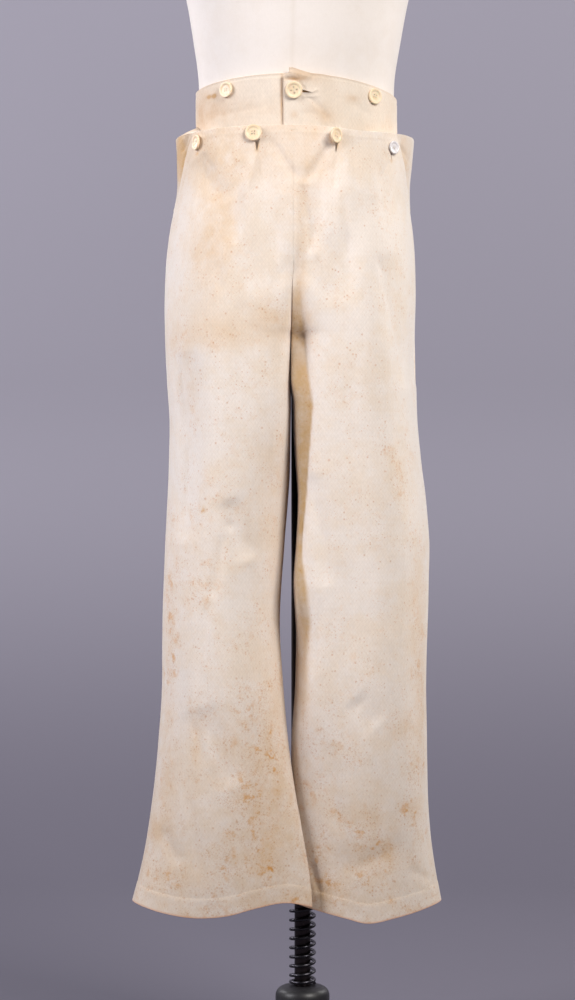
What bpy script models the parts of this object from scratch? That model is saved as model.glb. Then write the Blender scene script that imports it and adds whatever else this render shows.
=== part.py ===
"""Fall-front trousers worn by a limbless dress form on a sprung pole stand.

Metres, +Z up. The origin is on the floor under the pole. The garment's front faces -Y,
so the wearer's right leg is at -X. Each cloth piece is a thin wall made from sections
of the leg or hip, one section for each height.
"""
import math

import bmesh
import bpy
import numpy as np
from mathutils import Matrix, Vector

# Cloth
WALL = 0.0012               # one layer of the trouser cloth
BAND_WALL = 0.0024          # the waistband, cloth on both sides of a canvas
SEAM_GAP = 0.0003           # between two pieces that are sewn edge to edge
LAYER_GAP = 0.0005          # between two layers that lie on each other
HEM_RAISE = 0.0004          # how far the turned-up hem stands proud
HEM_DEPTH = 0.022           # height of the turned-up hem

# Heights above the floor
HEM_Z = 0.182               # the hem before it dips and lifts round each leg
CROTCH_Z = 0.850
SLIT_END_Z = 1.000          # the fall's side openings end here
HIP_TOP_Z = 1.0835          # where the hips turn in towards the waistband
BAND_LOW_Z = 1.098          # seam of the waistband at the sides and back
BAND_LOW_FRONT_Z = 1.079    # its lower edge behind the fall
BAND_TOP_SIDE_Z = 1.138
BAND_TOP_FRONT_Z = 1.1474
BAND_LEFT_DROP = 0.0090     # the left half's top edge is this much lower at the side
BAND_DROP_POWER = 1.3
FALL_TOP_RISE = 0.0035      # the fall's top edge is higher at the centre front
FALL_DIP = 0.0042           # and sags beside the left inner button
FALL_DIP_X = 0.066
FALL_DIP_WIDTH = 0.036
FALL_BEND_Z = 1.055         # and bends up to it from here
HEM_FADE = 0.150            # the hem's dip and lift fade out over this height

# Across the garment
CENTRE_FRONT_X = -0.0112    # the centre front seam
CENTRE_BACK_X = -0.0040
BAND_CENTRE_X = -0.0071
BAND_HALF_WIDTH = 0.1189
BAND_HALF_DEPTH = 0.1000
BAND_POWER = 2.2            # 2 is an ellipse, more is squarer
OVERLAP_END_X = -0.0240     # end of the left half, which lies over the right
UNDERLAP_END_X = 0.0180     # end of the right half, under the left
BAND_GAPE = 0.0035          # how far the loose corner of the left half leans out
BAND_LIFT = 0.0055          # and how much higher that corner stands
BAND_CORNER_X = 0.012       # the corner rises and leans from here
BAND_CORNER_RUN = 0.030
BAND_LEAN_PART = 0.45       # the upper part of the corner leans, above this share
BAND_LAP_X = 0.034          # the left half steps out over the right from here
BAND_LAP_RUN = 0.014
SLIT_LOW_ARC = 0.025        # from the side seam to the slit, along the cloth, at its end
SLIT_HIGH_ARC = 0.080       # and at the fall's corner
BEARER_END_X = 0.090        # where the bearer ends along the waistband, from centre front
BAND_DIP_X = 0.087          # where the waistband's lower edge drops behind the fall
BAND_DIP_RUN = 0.010
FRONT_RISE_Z = 0.955        # below this the front seam curves back to the crotch
BACK_RISE_Z = 0.970         # and the back seam forward
FORK_LOW_Z = 0.838          # the back seam opens round the pole between here
FORK_HIGH_Z = 0.853         # and here
FORK_BACK_Y = 0.032
OUTER_POWER = 2.15          # shape of the sections' outer quarters

# Dress form and stand
TUBE_CLEAR_RADIUS = 0.0195  # the cloth passes the tube outside this
SPRING_CLEAR_RADIUS = 0.0230
FORK_CLEAR_RADIUS = 0.0270  # wider where the seam opens round the tube
POLE_CLEAR_REACH = 0.046    # and turns aside this far before and behind
POLE_CLEAR_DIP = 0.020
FORM_LOW_Z = 0.900
NECK_TOP_Z = 1.585
CAP_RADIUS = 0.050
CAP_HEIGHT = 0.022
TUBE_RADIUS = 0.0133
TUBE_BORE = 0.0100
TUBE_LOW_Z = 0.304
FLANGE_RADIUS = 0.032
FLANGE_HEIGHT = 0.004
ROD_RADIUS = 0.0095
ROD_LOW_Z = 0.030
ROD_HIGH_Z = 0.620
HUB_RADIUS = 0.032
HUB_TOP_Z = 0.085
BASE_RADIUS = 0.192
SPRING_RADIUS = 0.0160      # outside of the coil
SPRING_WIRE = 0.0019        # radius of its wire
SPRING_PITCH = 0.011
SPRING_TURN_POINTS = 8
SPRING_SIDES = 5            # of the wire's section
CONTACT_GAP = 0.0003        # between hard pieces that touch

# Mesh of the cloth
FRONT_COLUMNS = 15
BACK_COLUMNS = 18
FRONT_CROWDING = 1.35       # the fronts' columns crowd towards the inseam, at its crease
BACK_CROWDING = 1.2         # and the backs' columns round the pole
BEARER_OPEN_COLUMNS = 3     # from the side seam to the slit
BEARER_UNDER_COLUMNS = 4    # of the flap's own columns, under its edge
BAND_COLUMNS = 36
CURVE_POINTS = 48           # points along each quarter of a section before it is spaced

# One row for each section of the wearer's right half, from the hem up. "out" is the side
# seam, "front" and "back" the foremost and rearmost points, "in" the inseam. From the inseam
# the front turns at "x_corner", softly with a weight under 1 and as a crease with one over 2.
# "back_power" shapes the quarter from the inseam to the back.
SECTION_COLUMNS = ("z", "x_out", "y_out", "x_front", "y_front", "x_in", "y_in",
                   "x_back", "y_back", "x_corner", "corner_weight", "back_power")
RIGHT_SECTIONS = (
    (0.1820, -0.2000, -0.020, -0.092, -0.080, 0.0112, -0.070, -0.100, 0.022, 0.0112, 0.65, 1.25),
    (0.2151, -0.1918, -0.018, -0.092, -0.083, 0.0086, -0.067, -0.098, 0.028, 0.0086, 0.65, 1.25),
    (0.2483, -0.1852, -0.015, -0.090, -0.085, 0.0038, -0.064, -0.096, 0.035, 0.0038, 0.65, 1.25),
    (0.2861, -0.1798, -0.012, -0.089, -0.088, -0.0026, -0.060, -0.094, 0.042, -0.0026, 0.65, 1.25),
    (0.3240, -0.1750, -0.010, -0.088, -0.090, -0.0088, -0.055, -0.093, 0.048, -0.0088, 0.65, 1.30),
    (0.3666, -0.1707, -0.008, -0.088, -0.092, -0.0152, -0.048, -0.092, 0.055, -0.0152, 0.65, 1.35),
    (0.4304, -0.1664, -0.006, -0.090, -0.095, -0.0212, -0.040, -0.092, 0.064, -0.0212, 0.65, 1.45),
    (0.5215, -0.1652, -0.004, -0.094, -0.098, -0.0269, -0.034, -0.093, 0.074, -0.0269, 0.65, 1.60),
    (0.6043, -0.1624, -0.002, -0.092, -0.102, -0.0215, -0.034, -0.091, 0.083, -0.0215, 0.71, 1.80),
    (0.6870, -0.1587, 0.000, -0.087, -0.106, -0.0152, -0.034, -0.088, 0.092, -0.0130, 1.00, 2.00),
    (0.7534, -0.1576, 0.000, -0.084, -0.110, -0.0150, -0.035, -0.086, 0.100, -0.0100, 1.70, 2.10),
    (0.8000, -0.1604, 0.000, -0.083, -0.112, -0.0152, -0.036, -0.084, 0.107, -0.0092, 2.20, 2.20),
    (0.8500, -0.1624, 0.000, -0.080, -0.114, -0.0140, -0.037, -0.082, 0.116, -0.0092, 2.20, 2.20),
    (0.9000, -0.1626, 0.000, -0.072, -0.116, -0.0120, -0.037, -0.075, 0.125, -0.0104, 1.50, 2.20),
    (0.9500, -0.1601, 0.002, -0.060, -0.117, -0.0112, -0.037, -0.065, 0.128, -0.0112, 0.71, 2.20),
    (0.9817, -0.1559, 0.004, -0.053, -0.117, -0.0112, -0.037, -0.058, 0.127, -0.0112, 0.76, 2.20),
    (1.0030, -0.1517, 0.005, -0.050, -0.116, -0.0112, -0.037, -0.054, 0.125, -0.0112, 0.76, 2.20),
    (1.0196, -0.1488, 0.005, -0.048, -0.114, -0.0112, -0.037, -0.052, 0.122, -0.0112, 0.76, 2.20),
    (1.0551, -0.1489, 0.005, -0.046, -0.110, -0.0112, -0.037, -0.050, 0.113, -0.0112, 0.76, 2.20),
    (1.0835, -0.1500, 0.005, -0.045, -0.107, -0.0112, -0.037, -0.050, 0.105, -0.0112, 0.76, 2.20),
)
LEFT_SECTIONS = (
    (0.1820, 0.1625, -0.020, 0.072, -0.072, -0.0077, -0.034, 0.080, 0.026, -0.0077, 0.45, 1.30),
    (0.2151, 0.1568, -0.018, 0.070, -0.074, -0.0085, -0.034, 0.080, 0.031, -0.0085, 0.45, 1.30),
    (0.2483, 0.1522, -0.015, 0.068, -0.077, -0.0098, -0.034, 0.078, 0.038, -0.0098, 0.45, 1.35),
    (0.2861, 0.1492, -0.012, 0.066, -0.081, -0.0118, -0.034, 0.077, 0.045, -0.0100, 0.50, 1.40),
    (0.3240, 0.1478, -0.010, 0.065, -0.085, -0.0132, -0.035, 0.076, 0.051, -0.0080, 0.60, 1.45),
    (0.3725, 0.1469, -0.008, 0.064, -0.089, -0.0138, -0.036, 0.075, 0.058, -0.0040, 1.00, 1.50),
    (0.4411, 0.1455, -0.006, 0.063, -0.093, -0.0092, -0.037, 0.075, 0.067, 0.0010, 2.20, 1.60),
    (0.5050, 0.1476, -0.004, 0.066, -0.096, -0.0078, -0.037, 0.076, 0.073, 0.0050, 3.00, 1.70),
    (0.5641, 0.1490, -0.002, 0.068, -0.099, -0.0104, -0.037, 0.076, 0.080, -0.0050, 3.00, 1.80),
    (0.6103, 0.1497, 0.000, 0.068, -0.102, -0.0077, -0.037, 0.075, 0.086, -0.0035, 3.00, 1.90),
    (0.6552, 0.1459, 0.000, 0.066, -0.105, -0.0063, -0.037, 0.073, 0.092, 0.0000, 3.00, 2.00),
    (0.7120, 0.1394, 0.000, 0.063, -0.108, -0.0095, -0.037, 0.070, 0.098, 0.0040, 3.00, 2.10),
    (0.7534, 0.1355, 0.000, 0.061, -0.110, -0.0118, -0.037, 0.068, 0.102, 0.0060, 3.00, 2.10),
    (0.8000, 0.1342, 0.000, 0.060, -0.112, -0.0142, -0.037, 0.066, 0.108, 0.0050, 2.80, 2.20),
    (0.8500, 0.1335, 0.000, 0.058, -0.114, -0.0134, -0.037, 0.064, 0.116, 0.0036, 2.20, 2.20),
    (0.9000, 0.1339, 0.000, 0.050, -0.116, -0.0116, -0.037, 0.056, 0.125, -0.0010, 1.40, 2.20),
    (0.9439, 0.1326, 0.002, 0.039, -0.117, -0.0112, -0.037, 0.048, 0.128, -0.0090, 0.80, 2.20),
    (0.9763, 0.1300, 0.004, 0.032, -0.117, -0.0112, -0.037, 0.042, 0.127, -0.0112, 0.76, 2.20),
    (1.0030, 0.1268, 0.005, 0.028, -0.116, -0.0112, -0.037, 0.038, 0.125, -0.0112, 0.76, 2.20),
    (1.0243, 0.1265, 0.005, 0.026, -0.114, -0.0112, -0.037, 0.036, 0.121, -0.0112, 0.76, 2.20),
    (1.0551, 0.1290, 0.005, 0.024, -0.110, -0.0112, -0.037, 0.034, 0.113, -0.0112, 0.76, 2.20),
    (1.0835, 0.1318, 0.005, 0.022, -0.107, -0.0112, -0.037, 0.034, 0.105, -0.0112, 0.76, 2.20),
)

# The hem's height across each leg, x then z, front and back
HEM_LINES = {
    ("right", "front"): ((-0.200, 0.1895), (-0.165, 0.1815), (-0.120, 0.1767), (-0.085, 0.1798),
                         (-0.055, 0.1879), (-0.018, 0.1940), (0.012, 0.1885)),
    ("right", "back"): ((-0.200, 0.1895), (-0.100, 0.1850), (0.012, 0.1885)),
    ("left", "front"): ((-0.008, 0.1876), (0.015, 0.1826), (0.052, 0.1744), (0.072, 0.1697),
                        (0.110, 0.1760), (0.162, 0.1895)),
    ("left", "back"): ((-0.008, 0.1876), (0.075, 0.1850), (0.162, 0.1895)),
}

# The largest folds. Each runs straight from one place to another, seen from its own face;
# a positive depth is a trough and a negative one a ridge.
FOLD_COLUMNS = ("face", "x_start", "z_start", "x_end", "z_end", "width", "depth")
FOLDS = (
    ("front", -0.055, 1.070, -0.022, 0.900, 0.014, 0.0035),
    ("front", 0.036, 1.066, -0.002, 0.900, 0.014, 0.0035),
    ("front", -0.090, 1.020, -0.050, 0.890, 0.020, 0.0030),
    ("front", 0.070, 1.010, 0.035, 0.885, 0.020, 0.0030),
    ("front", -0.126, 1.050, -0.085, 1.000, 0.012, 0.0025),
    ("front", -0.132, 0.830, -0.138, 0.610, 0.016, 0.0045),
    ("front", -0.085, 0.660, -0.062, 0.590, 0.014, 0.0040),
    ("front", 0.092, 0.940, 0.128, 0.790, 0.016, 0.0045),
    ("front", 0.012, 0.690, 0.026, 0.560, 0.012, 0.0035),
    ("front", 0.056, 0.430, 0.086, 0.400, 0.016, 0.0045),
    ("front", 0.030, 0.235, 0.128, 0.250, 0.018, 0.0030),
    ("front", -0.120, 0.420, -0.080, 0.330, 0.020, 0.0030),
    ("back", -0.060, 1.000, -0.085, 0.760, 0.020, 0.0045),
    ("back", 0.048, 1.000, 0.070, 0.760, 0.020, 0.0045),
    ("back", -0.125, 0.900, -0.050, 0.830, 0.016, 0.0050),
    ("back", 0.110, 0.900, 0.040, 0.830, 0.016, 0.0050),
    ("back", -0.120, 0.860, -0.055, 0.800, 0.016, 0.0045),
    ("back", 0.105, 0.860, 0.045, 0.800, 0.016, 0.0045),
    ("back", -0.110, 0.640, -0.055, 0.590, 0.016, 0.0045),
    ("back", 0.105, 0.620, 0.050, 0.570, 0.016, 0.0045),
    ("back", -0.100, 0.500, -0.075, 0.300, 0.018, 0.0035),
    ("back", 0.085, 0.480, 0.070, 0.290, 0.018, 0.0035),
)

# The dress form, one row for each section from its underside up: height, centre across, half
# width, front and back
FORM_SECTIONS = (
    (0.900, -0.0090, 0.084, -0.060, 0.060),
    (0.906, -0.0090, 0.102, -0.078, 0.078),
    (0.930, -0.0090, 0.122, -0.094, 0.098),
    (0.980, -0.0100, 0.130, -0.104, 0.112),
    (1.020, -0.0095, 0.128, -0.103, 0.108),
    (1.055, -0.0085, 0.123, -0.099, 0.101),
    (1.076, BAND_CENTRE_X, 0.1155, -0.0966, 0.0966),
    (1.112, BAND_CENTRE_X, 0.1155, -0.0966, 0.0966),
    (1.150, BAND_CENTRE_X, 0.1155, -0.0966, 0.0966),
    (1.200, -0.0065, 0.1225, -0.1010, 0.0980),
    (1.250, -0.0060, 0.1315, -0.1060, 0.1010),
    (1.300, -0.0060, 0.1440, -0.1130, 0.1060),
    (1.350, -0.0060, 0.1540, -0.1180, 0.1100),
    (1.400, -0.0060, 0.1620, -0.1140, 0.1080),
    (1.440, -0.0060, 0.1630, -0.0980, 0.0980),
    (1.475, -0.0060, 0.1470, -0.0780, 0.0860),
    (1.500, -0.0060, 0.1150, -0.0620, 0.0720),
    (1.520, -0.0060, 0.0780, -0.0540, 0.0620),
    (1.545, -0.0060, 0.0590, -0.0500, 0.0560),
    (NECK_TOP_Z, -0.0060, 0.0560, -0.0500, 0.0550),
)
FORM_ANGLES = 32
FORM_POWER = 2.05           # its sections are near ellipses
FORM_WAIST_Z = (1.000, 1.075, 1.150, 1.300)     # they square up at the waist between these

# Colours as sRGB, then roughness and metallic
FINISHES = {
    "trouser_cotton": ((0.90, 0.84, 0.76), 0.92, 0.0),
    "waistband_cotton": ((0.86, 0.79, 0.69), 0.92, 0.0),
    "bone_button": ((0.84, 0.78, 0.68), 0.45, 0.0),
    "china_button": ((0.93, 0.93, 0.92), 0.15, 0.0),
    "form_linen": ((0.89, 0.85, 0.79), 0.90, 0.0),
    "turned_wood": ((0.30, 0.20, 0.13), 0.45, 0.0),
    "dark_steel": ((0.16, 0.15, 0.15), 0.38, 1.0),
    "cast_iron_paint": ((0.08, 0.08, 0.085), 0.50, 0.0),
}


def remove_everything():
    for item in list(bpy.data.objects):
        bpy.data.objects.remove(item, do_unlink=True)


def linear(value):
    """One sRGB channel as linear light."""
    return value / 12.92 if value <= 0.04045 else ((value + 0.055) / 1.055) ** 2.4


def material(object_name, finish):
    colour, roughness, metallic = FINISHES[finish]
    made = bpy.data.materials.new(f"{finish}_{object_name}")
    made.use_nodes = True
    shader = made.node_tree.nodes["Principled BSDF"]
    shader.inputs["Base Color"].default_value = (*[linear(c) for c in colour], 1.0)
    shader.inputs["Roughness"].default_value = roughness
    shader.inputs["Metallic"].default_value = metallic
    return made


def add_object(name, vertices, faces, finish):
    """A closed solid with its faces pointing out."""
    mesh = bpy.data.meshes.new(name)
    mesh.from_pydata([tuple(v) for v in vertices], [], faces)
    work = bmesh.new()
    work.from_mesh(mesh)
    bmesh.ops.recalc_face_normals(work, faces=work.faces[:])
    work.to_mesh(mesh)
    work.free()
    mesh.shade_smooth()
    mesh.set_sharp_from_angle(angle=math.radians(40))
    made = bpy.data.objects.new(name, mesh)
    bpy.context.collection.objects.link(made)
    mesh.materials.append(material(name, finish))
    return made


def step(value):
    """Smooth step from 0 to 1 as the value goes from 0 to 1."""
    t = np.clip(value, 0.0, 1.0)
    return t * t * (3.0 - 2.0 * t)


def through(knots, values, at):
    """The smooth curve through the values at rising knots."""
    slopes = np.gradient(values, knots)
    low = np.clip(np.searchsorted(knots, at) - 1, 0, len(knots) - 2)
    width = knots[low + 1] - knots[low]
    t = np.clip((at - knots[low]) / width, 0.0, 1.0)
    return (
        (1 + 2 * t) * (1 - t) ** 2 * values[low]
        + t * (1 - t) ** 2 * width * slopes[low]
        + t * t * (3 - 2 * t) * values[low + 1]
        + t * t * (t - 1) * width * slopes[low + 1]
    )


def read_row(table, columns, z):
    """The table's columns at one height, as a dictionary."""
    data = np.array(table)
    return {
        name: float(through(data[:, 0], data[:, i], np.float64(z)))
        for i, name in enumerate(columns)
    }


def quarter(tip, middle, power):
    """A quarter of a squared-off ellipse from its side tip to its front or back middle."""
    angle = np.linspace(0.0, math.pi / 2, CURVE_POINTS)
    along = np.cos(angle) ** (2 / power)
    away = np.sin(angle) ** (2 / power)
    x = middle[0] + (tip[0] - middle[0]) * along
    y = tip[1] + (middle[1] - tip[1]) * away
    return np.stack([x, y], axis=1)


def turned_in(tip, corner, middle, weight):
    """A curve from the inseam to the front middle that turns near the corner."""
    t = np.linspace(0.0, 1.0, CURVE_POINTS)[:, None]
    shares = ((1.0 - t) ** 2, 2.0 * weight * t * (1.0 - t), t**2)
    total = shares[0] + shares[1] + shares[2]
    points = shares[0] * np.array(tip) + shares[1] * np.array(corner) + shares[2] * np.array(middle)
    return points / total


def rise(z, wall_y, end_y, start_z, end_z):
    """Depth of the front or back seam, which curves under the body."""
    part = np.clip((start_z - z) / (start_z - end_z), 0.0, 1.0)
    return end_y + (wall_y - end_y) * math.sqrt(1.0 - part * part)


def back_seam(z, wall_y, inseam_y):
    """The back's inner edge: inseam, then open round the pole, then the seat seam."""
    if z > FORK_HIGH_Z:
        return rise(z, wall_y, FORK_BACK_Y, BACK_RISE_Z, FORK_HIGH_Z)
    part = np.clip((z - FORK_LOW_Z) / (FORK_HIGH_Z - FORK_LOW_Z), 0.0, 1.0)
    return inseam_y + (FORK_BACK_Y - inseam_y) * float(part)


def aside_of_pole(points, side, z):
    """Move a section's points out round the pole, which passes between the legs."""
    reach = np.clip(np.abs(points[:, 1]) / POLE_CLEAR_REACH, 0.0, 1.0)
    swell = np.cos(reach * math.pi / 2) ** 2
    along = float(step((z - TUBE_LOW_Z) / 0.060))
    radius = SPRING_CLEAR_RADIUS + (TUBE_CLEAR_RADIUS - SPRING_CLEAR_RADIUS) * along
    fork = float(step((z - FORK_LOW_Z + 0.040) / 0.035))
    radius = radius + (FORK_CLEAR_RADIUS - TUBE_CLEAR_RADIUS) * fork
    limit = (radius + POLE_CLEAR_DIP) * swell - POLE_CLEAR_DIP
    near = np.abs(points[:, 1]) < POLE_CLEAR_REACH
    moved = points.copy()
    outward = side * points[:, 0]
    moved[:, 0] = np.where(near, side * np.maximum(outward, limit), points[:, 0])
    return moved


def side_sign(side):
    return -1.0 if side == "right" else 1.0


def outline(side, face, z):
    """The section of one panel at a height, from the side seam to its inner seam."""
    table = RIGHT_SECTIONS if side == "right" else LEFT_SECTIONS
    row = read_row(table, SECTION_COLUMNS, z)
    x_in = row["x_in"]
    y_in = row["y_in"]
    if face == "front":
        middle = (row["x_front"], row["y_front"])
        if z > CROTCH_Z:
            y_in = rise(z, row["y_front"], y_in, FRONT_RISE_Z, CROTCH_Z)
        corner = (row["x_corner"], row["y_front"])
        inner = turned_in((x_in, y_in), corner, middle, row["corner_weight"])
    else:
        middle = (row["x_back"], row["y_back"])
        if z > CROTCH_Z:
            lean = step((z - CROTCH_Z) / (BACK_RISE_Z - CROTCH_Z))
            x_in = x_in + (CENTRE_BACK_X - x_in) * float(lean)
        y_in = back_seam(z, row["y_back"], y_in)
        inner = quarter((x_in, y_in), middle, row["back_power"])
    outer = quarter((row["x_out"], row["y_out"]), middle, OUTER_POWER)
    points = np.concatenate([outer, inner[-2::-1]])
    return aside_of_pole(points, side_sign(side), z)


def at_distances(points, wanted):
    """The polyline's points at given distances along it."""
    steps = np.linalg.norm(np.diff(points, axis=0), axis=1)
    along = np.concatenate([[0.0], np.cumsum(steps)])
    return np.stack([np.interp(wanted, along, points[:, i]) for i in range(2)], axis=1)


def arc_length(points):
    return float(np.linalg.norm(np.diff(points, axis=0), axis=1).sum())


def crowded(count, face):
    """Shares from 0 to 1 for a panel's columns, closer towards the inseam."""
    crowding = FRONT_CROWDING if face == "front" else BACK_CROWDING
    return 1.0 - (1.0 - np.linspace(0.0, 1.0, count)) ** crowding


def spaced(points, start, end, shares):
    """Points along a polyline at the shares of its length, less a distance at each end."""
    return at_distances(points, start + (arc_length(points) - end - start) * shares)


def slit_arc(z):
    """Distance along the cloth from the side seam to the fall's side edge."""
    part = (z - SLIT_END_Z) / (HIP_TOP_Z - SLIT_END_Z)
    return SLIT_LOW_ARC + (SLIT_HIGH_ARC - SLIT_LOW_ARC) * part


def band_ring(x, y_sign):
    """Depth of the waistband's outer face at a place across it."""
    part = np.clip(np.abs(x - BAND_CENTRE_X) / BAND_HALF_WIDTH, 0.0, 1.0)
    return y_sign * BAND_HALF_DEPTH * (1.0 - part ** BAND_POWER) ** (1.0 / BAND_POWER)


def band_outline(side, face):
    """A quarter of the waistband's outer face, from the side to the centre seam."""
    sign = side_sign(side)
    y_sign = -1.0 if face == "front" else 1.0
    centre = CENTRE_FRONT_X if face == "front" else CENTRE_BACK_X
    angle = np.linspace(0.0, math.pi / 2, 2 * CURVE_POINTS)
    along = np.cos(angle) ** (2 / BAND_POWER)
    away = np.sin(angle) ** (2 / BAND_POWER)
    x = BAND_CENTRE_X + sign * BAND_HALF_WIDTH * along
    points = np.stack([x, y_sign * BAND_HALF_DEPTH * away], axis=1)
    keep = sign * (x - centre) >= 0.0
    end = np.array([[centre, float(band_ring(np.float64(centre), y_sign))]])
    return np.concatenate([points[keep], end])


def hem_shift(side, face, x, z):
    """How far the hem's line dips or lifts a point, fading out above it."""
    line = np.array(HEM_LINES[(side, face)])
    height = through(line[:, 0], line[:, 1], x)
    return (height - HEM_Z) * (1.0 - step((z - HEM_Z) / HEM_FADE))


def fall_shift(x, z):
    """The fall's top edge curves up to the centre front."""
    across = np.clip(np.abs(x - CENTRE_FRONT_X) / 0.120, 0.0, 1.0)
    bend = step((z - FALL_BEND_Z) / (HIP_TOP_Z - FALL_BEND_Z))
    sag = FALL_DIP * np.exp(-(((x - FALL_DIP_X) / FALL_DIP_WIDTH) ** 2))
    return (FALL_TOP_RISE * (1.0 - across**2) - sag) * bend


def grid_normals(points, flip):
    """Unit normals of a grid of points, rows up and columns across."""
    up = np.gradient(points, axis=0)
    across = np.gradient(points, axis=1)
    normal = np.cross(up, across)
    normal /= np.maximum(np.linalg.norm(normal, axis=2, keepdims=True), 1e-12)
    return normal * flip


def normal_flip(side, face):
    """The grids of right fronts and left backs run the other way round the leg."""
    return -1.0 if (side == "right") == (face == "front") else 1.0


def fold_depth(points, face):
    """Sum of the folds at each point, as a distance outwards."""
    total = np.zeros(points.shape[:2])
    for fold in FOLDS:
        row = dict(zip(FOLD_COLUMNS, fold))
        if row["face"] != face:
            continue
        start = np.array([row["x_start"], row["z_start"]])
        run = np.array([row["x_end"], row["z_end"]]) - start
        offset = points[:, :, (0, 2)] - start
        part = np.clip((offset @ run) / (run @ run), 0.0, 1.0)
        apart = np.linalg.norm(offset - part[..., None] * run, axis=2)
        taper = 1.0 - (2.0 * part - 1.0) ** 4
        total -= row["depth"] * taper * np.exp(-((apart / row["width"]) ** 2))
    return total


def seam_normals(normals, z, side, face):
    """At a seam both pieces share one direction through the cloth."""
    sign = side_sign(side)
    shared = normals.copy()
    slit = (face == "front") & (z > SLIT_END_Z)
    edge = shared[:, 0].copy()
    edge[:, 1] = np.where(slit, edge[:, 1], 0.0)
    shared[:, 0] = edge
    inner = shared[:, -1].copy()
    below = z <= FORK_HIGH_Z
    inner[:, 0] = np.where(below, -sign, -sign * np.maximum(-sign * inner[:, 0], 0.0))
    inner[:, 1] = np.where(below, 0.0, inner[:, 1])
    inner[:, 2] = np.where(below, 0.0, inner[:, 2])
    shared[:, -1] = inner
    size = np.linalg.norm(shared, axis=2, keepdims=True)
    return shared / np.maximum(size, 1e-9)


def panel_points(side, face, heights, columns):
    """Outer points of a front or back panel and its normals."""
    shares = crowded(columns, face)
    rows = []
    for z in heights:
        points = outline(side, face, z)
        start = SEAM_GAP / 2
        if face == "front" and z > SLIT_END_Z:
            start = slit_arc(z)
        rows.append(spaced(points, start, SEAM_GAP / 2, shares))
    plan = np.array(rows)
    z = np.repeat(np.array(heights)[:, None], columns, axis=1)
    z = z + hem_shift(side, face, plan[..., 0], z)
    if face == "front":
        z = z + fall_shift(plan[..., 0], z)
    points = np.concatenate([plan, z[..., None]], axis=2)
    return fold_and_face(points, np.array(heights), side, face)


def fold_and_face(points, heights, side, face):
    """Move the points by the folds and the hem, and give the normals for the wall."""
    flip = normal_flip(side, face)
    normals = seam_normals(grid_normals(points, flip), heights, side, face)
    outward = fold_depth(points, face)
    turned_up = heights - HEM_Z < HEM_DEPTH
    outward = outward + HEM_RAISE * turned_up[:, None]
    points = points + normals * outward[..., None]
    return points, seam_normals(grid_normals(points, flip), heights, side, face)


def wall(outer, inner):
    """Closed wall between two grids of points: vertices and faces."""
    rows, columns = outer.shape[:2]
    vertices = np.concatenate([outer.reshape(-1, 3), inner.reshape(-1, 3)])
    layer = rows * columns

    def at(row, column, side):
        return side * layer + row * columns + column

    faces = []
    for r in range(rows - 1):
        for c in range(columns - 1):
            faces.append((at(r, c, 0), at(r, c + 1, 0), at(r + 1, c + 1, 0), at(r + 1, c, 0)))
            faces.append((at(r, c, 1), at(r + 1, c, 1), at(r + 1, c + 1, 1), at(r, c + 1, 1)))
    for r in range(rows - 1):
        for c in (0, columns - 1):
            faces.append((at(r, c, 0), at(r + 1, c, 0), at(r + 1, c, 1), at(r, c, 1)))
    for c in range(columns - 1):
        for r in (0, rows - 1):
            faces.append((at(r, c, 0), at(r, c, 1), at(r, c + 1, 1), at(r, c + 1, 0)))
    return vertices, faces


def leg_heights():
    """Heights of the panels' sections, closest at the hem, the crotch and the slit's end."""
    hem = [HEM_Z, HEM_Z + HEM_DEPTH - 0.001, HEM_Z + HEM_DEPTH + 0.001]
    leg = list(np.linspace(HEM_Z + 0.050, FORK_LOW_Z - 0.030, 16))
    crotch = [FORK_LOW_Z, FORK_LOW_Z + 0.004, FORK_LOW_Z + 0.008, FORK_HIGH_Z - 0.003]
    seat = [FORK_HIGH_Z + 0.001, *np.linspace(FORK_HIGH_Z + 0.010, SLIT_END_Z, 6)]
    hip = list(np.linspace(SLIT_END_Z + 0.003, HIP_TOP_Z, 4))
    return hem + leg + crotch + seat + hip


def shelf_rows(side, face, last_plan, start, end, shares):
    """Rows from the top of the hip in to the waistband's seam."""
    ring = spaced(band_outline(side, face), start, end, shares)
    rows = []
    top = BAND_LOW_Z - SEAM_GAP
    for part in (0.45, 1.0):
        plan = last_plan + (ring - last_plan) * part
        z = HIP_TOP_Z + (top - HIP_TOP_Z) * part
        rows.append(np.concatenate([plan, np.full((len(shares), 1), z)], axis=1))
    return rows


def make_front(side):
    points, normals = panel_points(side, "front", leg_heights(), FRONT_COLUMNS)
    vertices, faces = wall(points, points - normals * WALL)
    return add_object(f"front_{side}", vertices, faces, "trouser_cotton")


def make_back(side):
    heights = leg_heights()
    points, normals = panel_points(side, "back", heights, BACK_COLUMNS)
    shares = crowded(BACK_COLUMNS, "back")
    shelf = shelf_rows(side, "back", points[-1, :, :2], 0.0, SEAM_GAP / 2, shares)
    points = np.concatenate([points, np.array(shelf)])
    heights = np.array(heights + [HIP_TOP_Z, BAND_LOW_Z])
    normals = grid_normals(points, normal_flip(side, "back"))
    normals = seam_normals(normals, heights, side, "back")
    vertices, faces = wall(points, points - normals * WALL)
    return add_object(f"back_{side}", vertices, faces, "trouser_cotton")


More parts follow.
